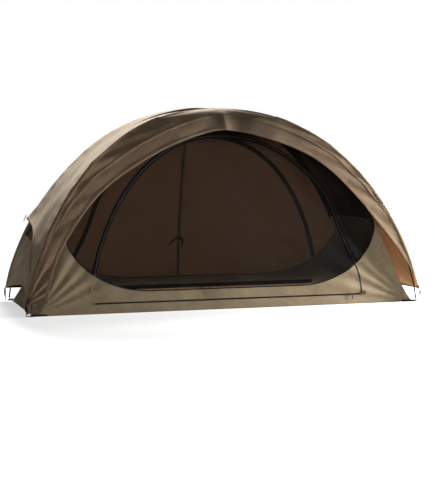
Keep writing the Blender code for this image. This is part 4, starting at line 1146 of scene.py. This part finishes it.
zip_line = evenly([[ZIP_ASIDE, FLY_HEM + 0.004], [ZIP_ASIDE, ZIP_TOP]], 0.008)
points, normals = fly_line("back", zip_line, -0.0003)
tape = path_band("fly_back_zip_tape", points, normals, width=0.016, thickness=0.0024)
dress(tape, tape_brown, "fly", "zip_black", "fly_back_zip")
teeth = stitches("fly_back_zip_teeth", points, normals, pitch=0.0032, length=0.0030, radius=0.0034)
dress(teeth, coil_nylon, "fly", "zip_black")
for which, route in (("left", ((-0.092, 0.322), (-0.108, 0.318), (-0.128, 0.300), (-0.146, 0.284))),
                     ("right", ((-0.088, 0.322), (-0.074, 0.316), (-0.068, 0.300), (-0.074, 0.274)))):
    points, normals = fly_line("back", smooth(route, 8), -0.0042)
    tie = path_band(f"back_tie_{which}", points, normals, width=0.010, thickness=0.0014)
    dress(tie, webbing, "fly", "webbing_black")
    bpy.ops.object.select_all(action="DESELECT")
    bpy.ops.mesh.primitive_cylinder_add(vertices=18, radius=TOGGLE_RADIUS, depth=TOGGLE_LENGTH)
    toggle = bpy.context.object
    toggle.name = f"back_tie_toggle_{which}"
    bpy.ops.object.mode_set(mode="EDIT")
    for height in (-0.004, -0.0015, 0.0015, 0.004):
        bpy.ops.mesh.select_all(action="SELECT")
        bpy.ops.mesh.bisect(plane_co=(0, 0, height), plane_no=(0, 0, 1))
    bpy.ops.mesh.select_all(action="DESELECT")
    bpy.ops.object.mode_set(mode="OBJECT")
    for vertex in toggle.data.vertices:
        vertex.select = abs(vertex.co.z) < 0.002
    bpy.ops.object.mode_set(mode="EDIT")
    bpy.ops.transform.resize(value=(TOGGLE_WAIST, TOGGLE_WAIST, 1.0))
    bpy.ops.object.mode_set(mode="OBJECT")
    rounded = toggle.modifiers.new("edges", "BEVEL")
    rounded.width, rounded.segments, rounded.limit_method = 0.0008, 2, "ANGLE"
    bpy.ops.object.modifier_apply(modifier=rounded.name)
    bpy.ops.object.shade_smooth_by_angle(angle=math.radians(40))
    turn = Vector((0.8, 0.0, 0.6)).to_track_quat("Z", "Y").to_matrix().to_4x4()
    toggle.data.transform(Matrix.Translation(points[-1] - normals[-1] * 0.004) @ turn)
    dress(toggle, acetal, "fly", "plastic_black")
kept_look(enamel, "fly_back_slider")

# Corner tensioners. Webbing 20 mm wide is sewn to each corner of the fly and turned round the top bar of a
# moulded buckle. A webbing strap hangs from the buckle and ends in a moulded hook.

BAR_OUT, BAR_UP = float(fly_reach(FLY_HEM)) + 0.0005, FLY_HEM - 0.0031
LOOP_RADIUS = 0.0027
for corner, (sx, sy) in CORNERS.items():
    outward = np.array([sx * ALONG, sy * ACROSS, 0.0])
    front = [(float(fly_reach(z)) - back, z)
             for z, back in ((0.094, 0.0034), (0.084, 0.0030), (0.075, 0.0018))]
    turn = [(BAR_OUT + LOOP_RADIUS * math.cos(t), BAR_UP + LOOP_RADIUS * math.sin(t))
            for t in np.linspace(0.3, -math.pi - 0.3, 9)]
    behind = [(float(fly_reach(z)) - 0.0066, z) for z in (0.074, 0.082)]
    profile = smooth(front + turn + behind, 3)
    route = outward * profile[:, :1] + np.array([0, 0, 1.0]) * profile[:, 1:]
    run = np.gradient(profile, axis=0)
    normal = outward * run[:, 1:] - np.array([0, 0, 1.0]) * run[:, :1]
    normal = -normal / np.linalg.norm(normal, axis=1, keepdims=True)
    loop = path_band(f"corner_loop_{corner}", route, normal, width=0.0195, thickness=0.0012)
    dress(loop, webbing, "fly", "webbing_black")
    kept_look(acetal, f"corner_buckle_{corner}", f"corner_hook_{corner}")
    kept_look(webbing, f"corner_strap_{corner}")

# Studio. A pale floor that runs back to white, a wide soft lamp high behind the tent, two small
# ones low on the right and a weak one in front.

# Matt paper: it takes the tent's shadow, fades to pure white away from it for the camera, and gives back less
# light than it shows
paper, shader = start_material("backdrop_paper", 0.9)
shader.inputs["Specular IOR Level"].default_value = 0.0
seen = add_node(paper, "ShaderNodeLightPath").outputs["Is Camera Ray"]
spot = add_node(paper, "ShaderNodeTexCoord").outputs["Object"]
away = add_node(paper, "ShaderNodeVectorMath", {0: spot}, operation="LENGTH")
fade = add_node(paper, "ShaderNodeMapRange", {"Value": away.outputs["Value"], "From Min": 1.25,
                                              "From Max": 2.6, "To Min": 0.6},
                interpolation_type="SMOOTHSTEP")
white = add_node(paper, "ShaderNodeMath", {0: fade.outputs[0], 1: seen}, operation="MULTIPLY")
matt = add_node(paper, "ShaderNodeMix", {0: seen, 6: linear("9C9C9A"), 7: linear("F4F4F2")}, data_type="RGBA")
tone = add_node(paper, "ShaderNodeMix", {0: white.outputs[0], 6: matt.outputs[2], 7: linear("000000")},
                data_type="RGBA")
wire(paper, tone.outputs[2], shader.inputs["Base Color"])
shader.inputs["Emission Color"].default_value = linear("FFFFFF")
wire(paper, white.outputs[0], shader.inputs["Emission Strength"])
bpy.ops.object.select_all(action="DESELECT")
bpy.ops.mesh.primitive_plane_add(size=60.0, location=(0.0, 0.0, -0.0002))
ground = bpy.context.object
ground.name = "studio_floor"
ground.data.materials.append(paper)
ground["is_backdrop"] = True

world = bpy.data.worlds.new("studio_light")
bpy.context.scene.world = world
world.use_nodes = True
background = world.node_tree.nodes["Background"]
path = add_node(world, "ShaderNodeLightPath")
straight = add_node(world, "ShaderNodeMath",
                    {0: path.outputs["Is Camera Ray"], 1: path.outputs["Is Glossy Ray"]}, operation="MAXIMUM")
seen = add_node(world, "ShaderNodeMath", {0: straight.outputs[0], 1: path.outputs["Is Transmission Ray"]},
                operation="MAXIMUM")
level = add_node(world, "ShaderNodeMix", {0: seen.outputs[0], 2: 0.11, 3: 1.0}, data_type="FLOAT")
wire(world, level.outputs[0], background.inputs["Strength"])
background.inputs["Color"].default_value = (1.0, 1.0, 1.0, 1.0)


def softbox(name, place, aim, size, power):
    """A square lamp that looks from its place at its aim."""
    bpy.ops.object.light_add(type="AREA", location=place)
    lamp = bpy.context.object
    lamp.name = name
    lamp.data.shape = "SQUARE"
    lamp.data.size = size
    lamp.data.energy = power
    lamp.rotation_mode = "QUATERNION"
    lamp.rotation_quaternion = (Vector(aim) - Vector(place)).to_track_quat("-Z", "Y")


softbox("key_light", (0.7, 3.4, 3.45), (0.0, 0.0, 0.5), 1.2, 670.0)
softbox("right_light", (3.0, -0.60, 0.55), (0.6, 0.0, 0.5), 0.3, 480.0)
softbox("end_light", (3.0, 0.22, 0.95), (0.9, 0.0, 0.5), 0.4, 260.0)
softbox("front_light", (-0.8, -4.8, 0.9), (0.0, 0.0, 0.3), 2.0, 28.0)

# The script's end: a plain view transform and the model's box
bpy.context.scene.view_settings.view_transform = "Standard"
low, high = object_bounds()
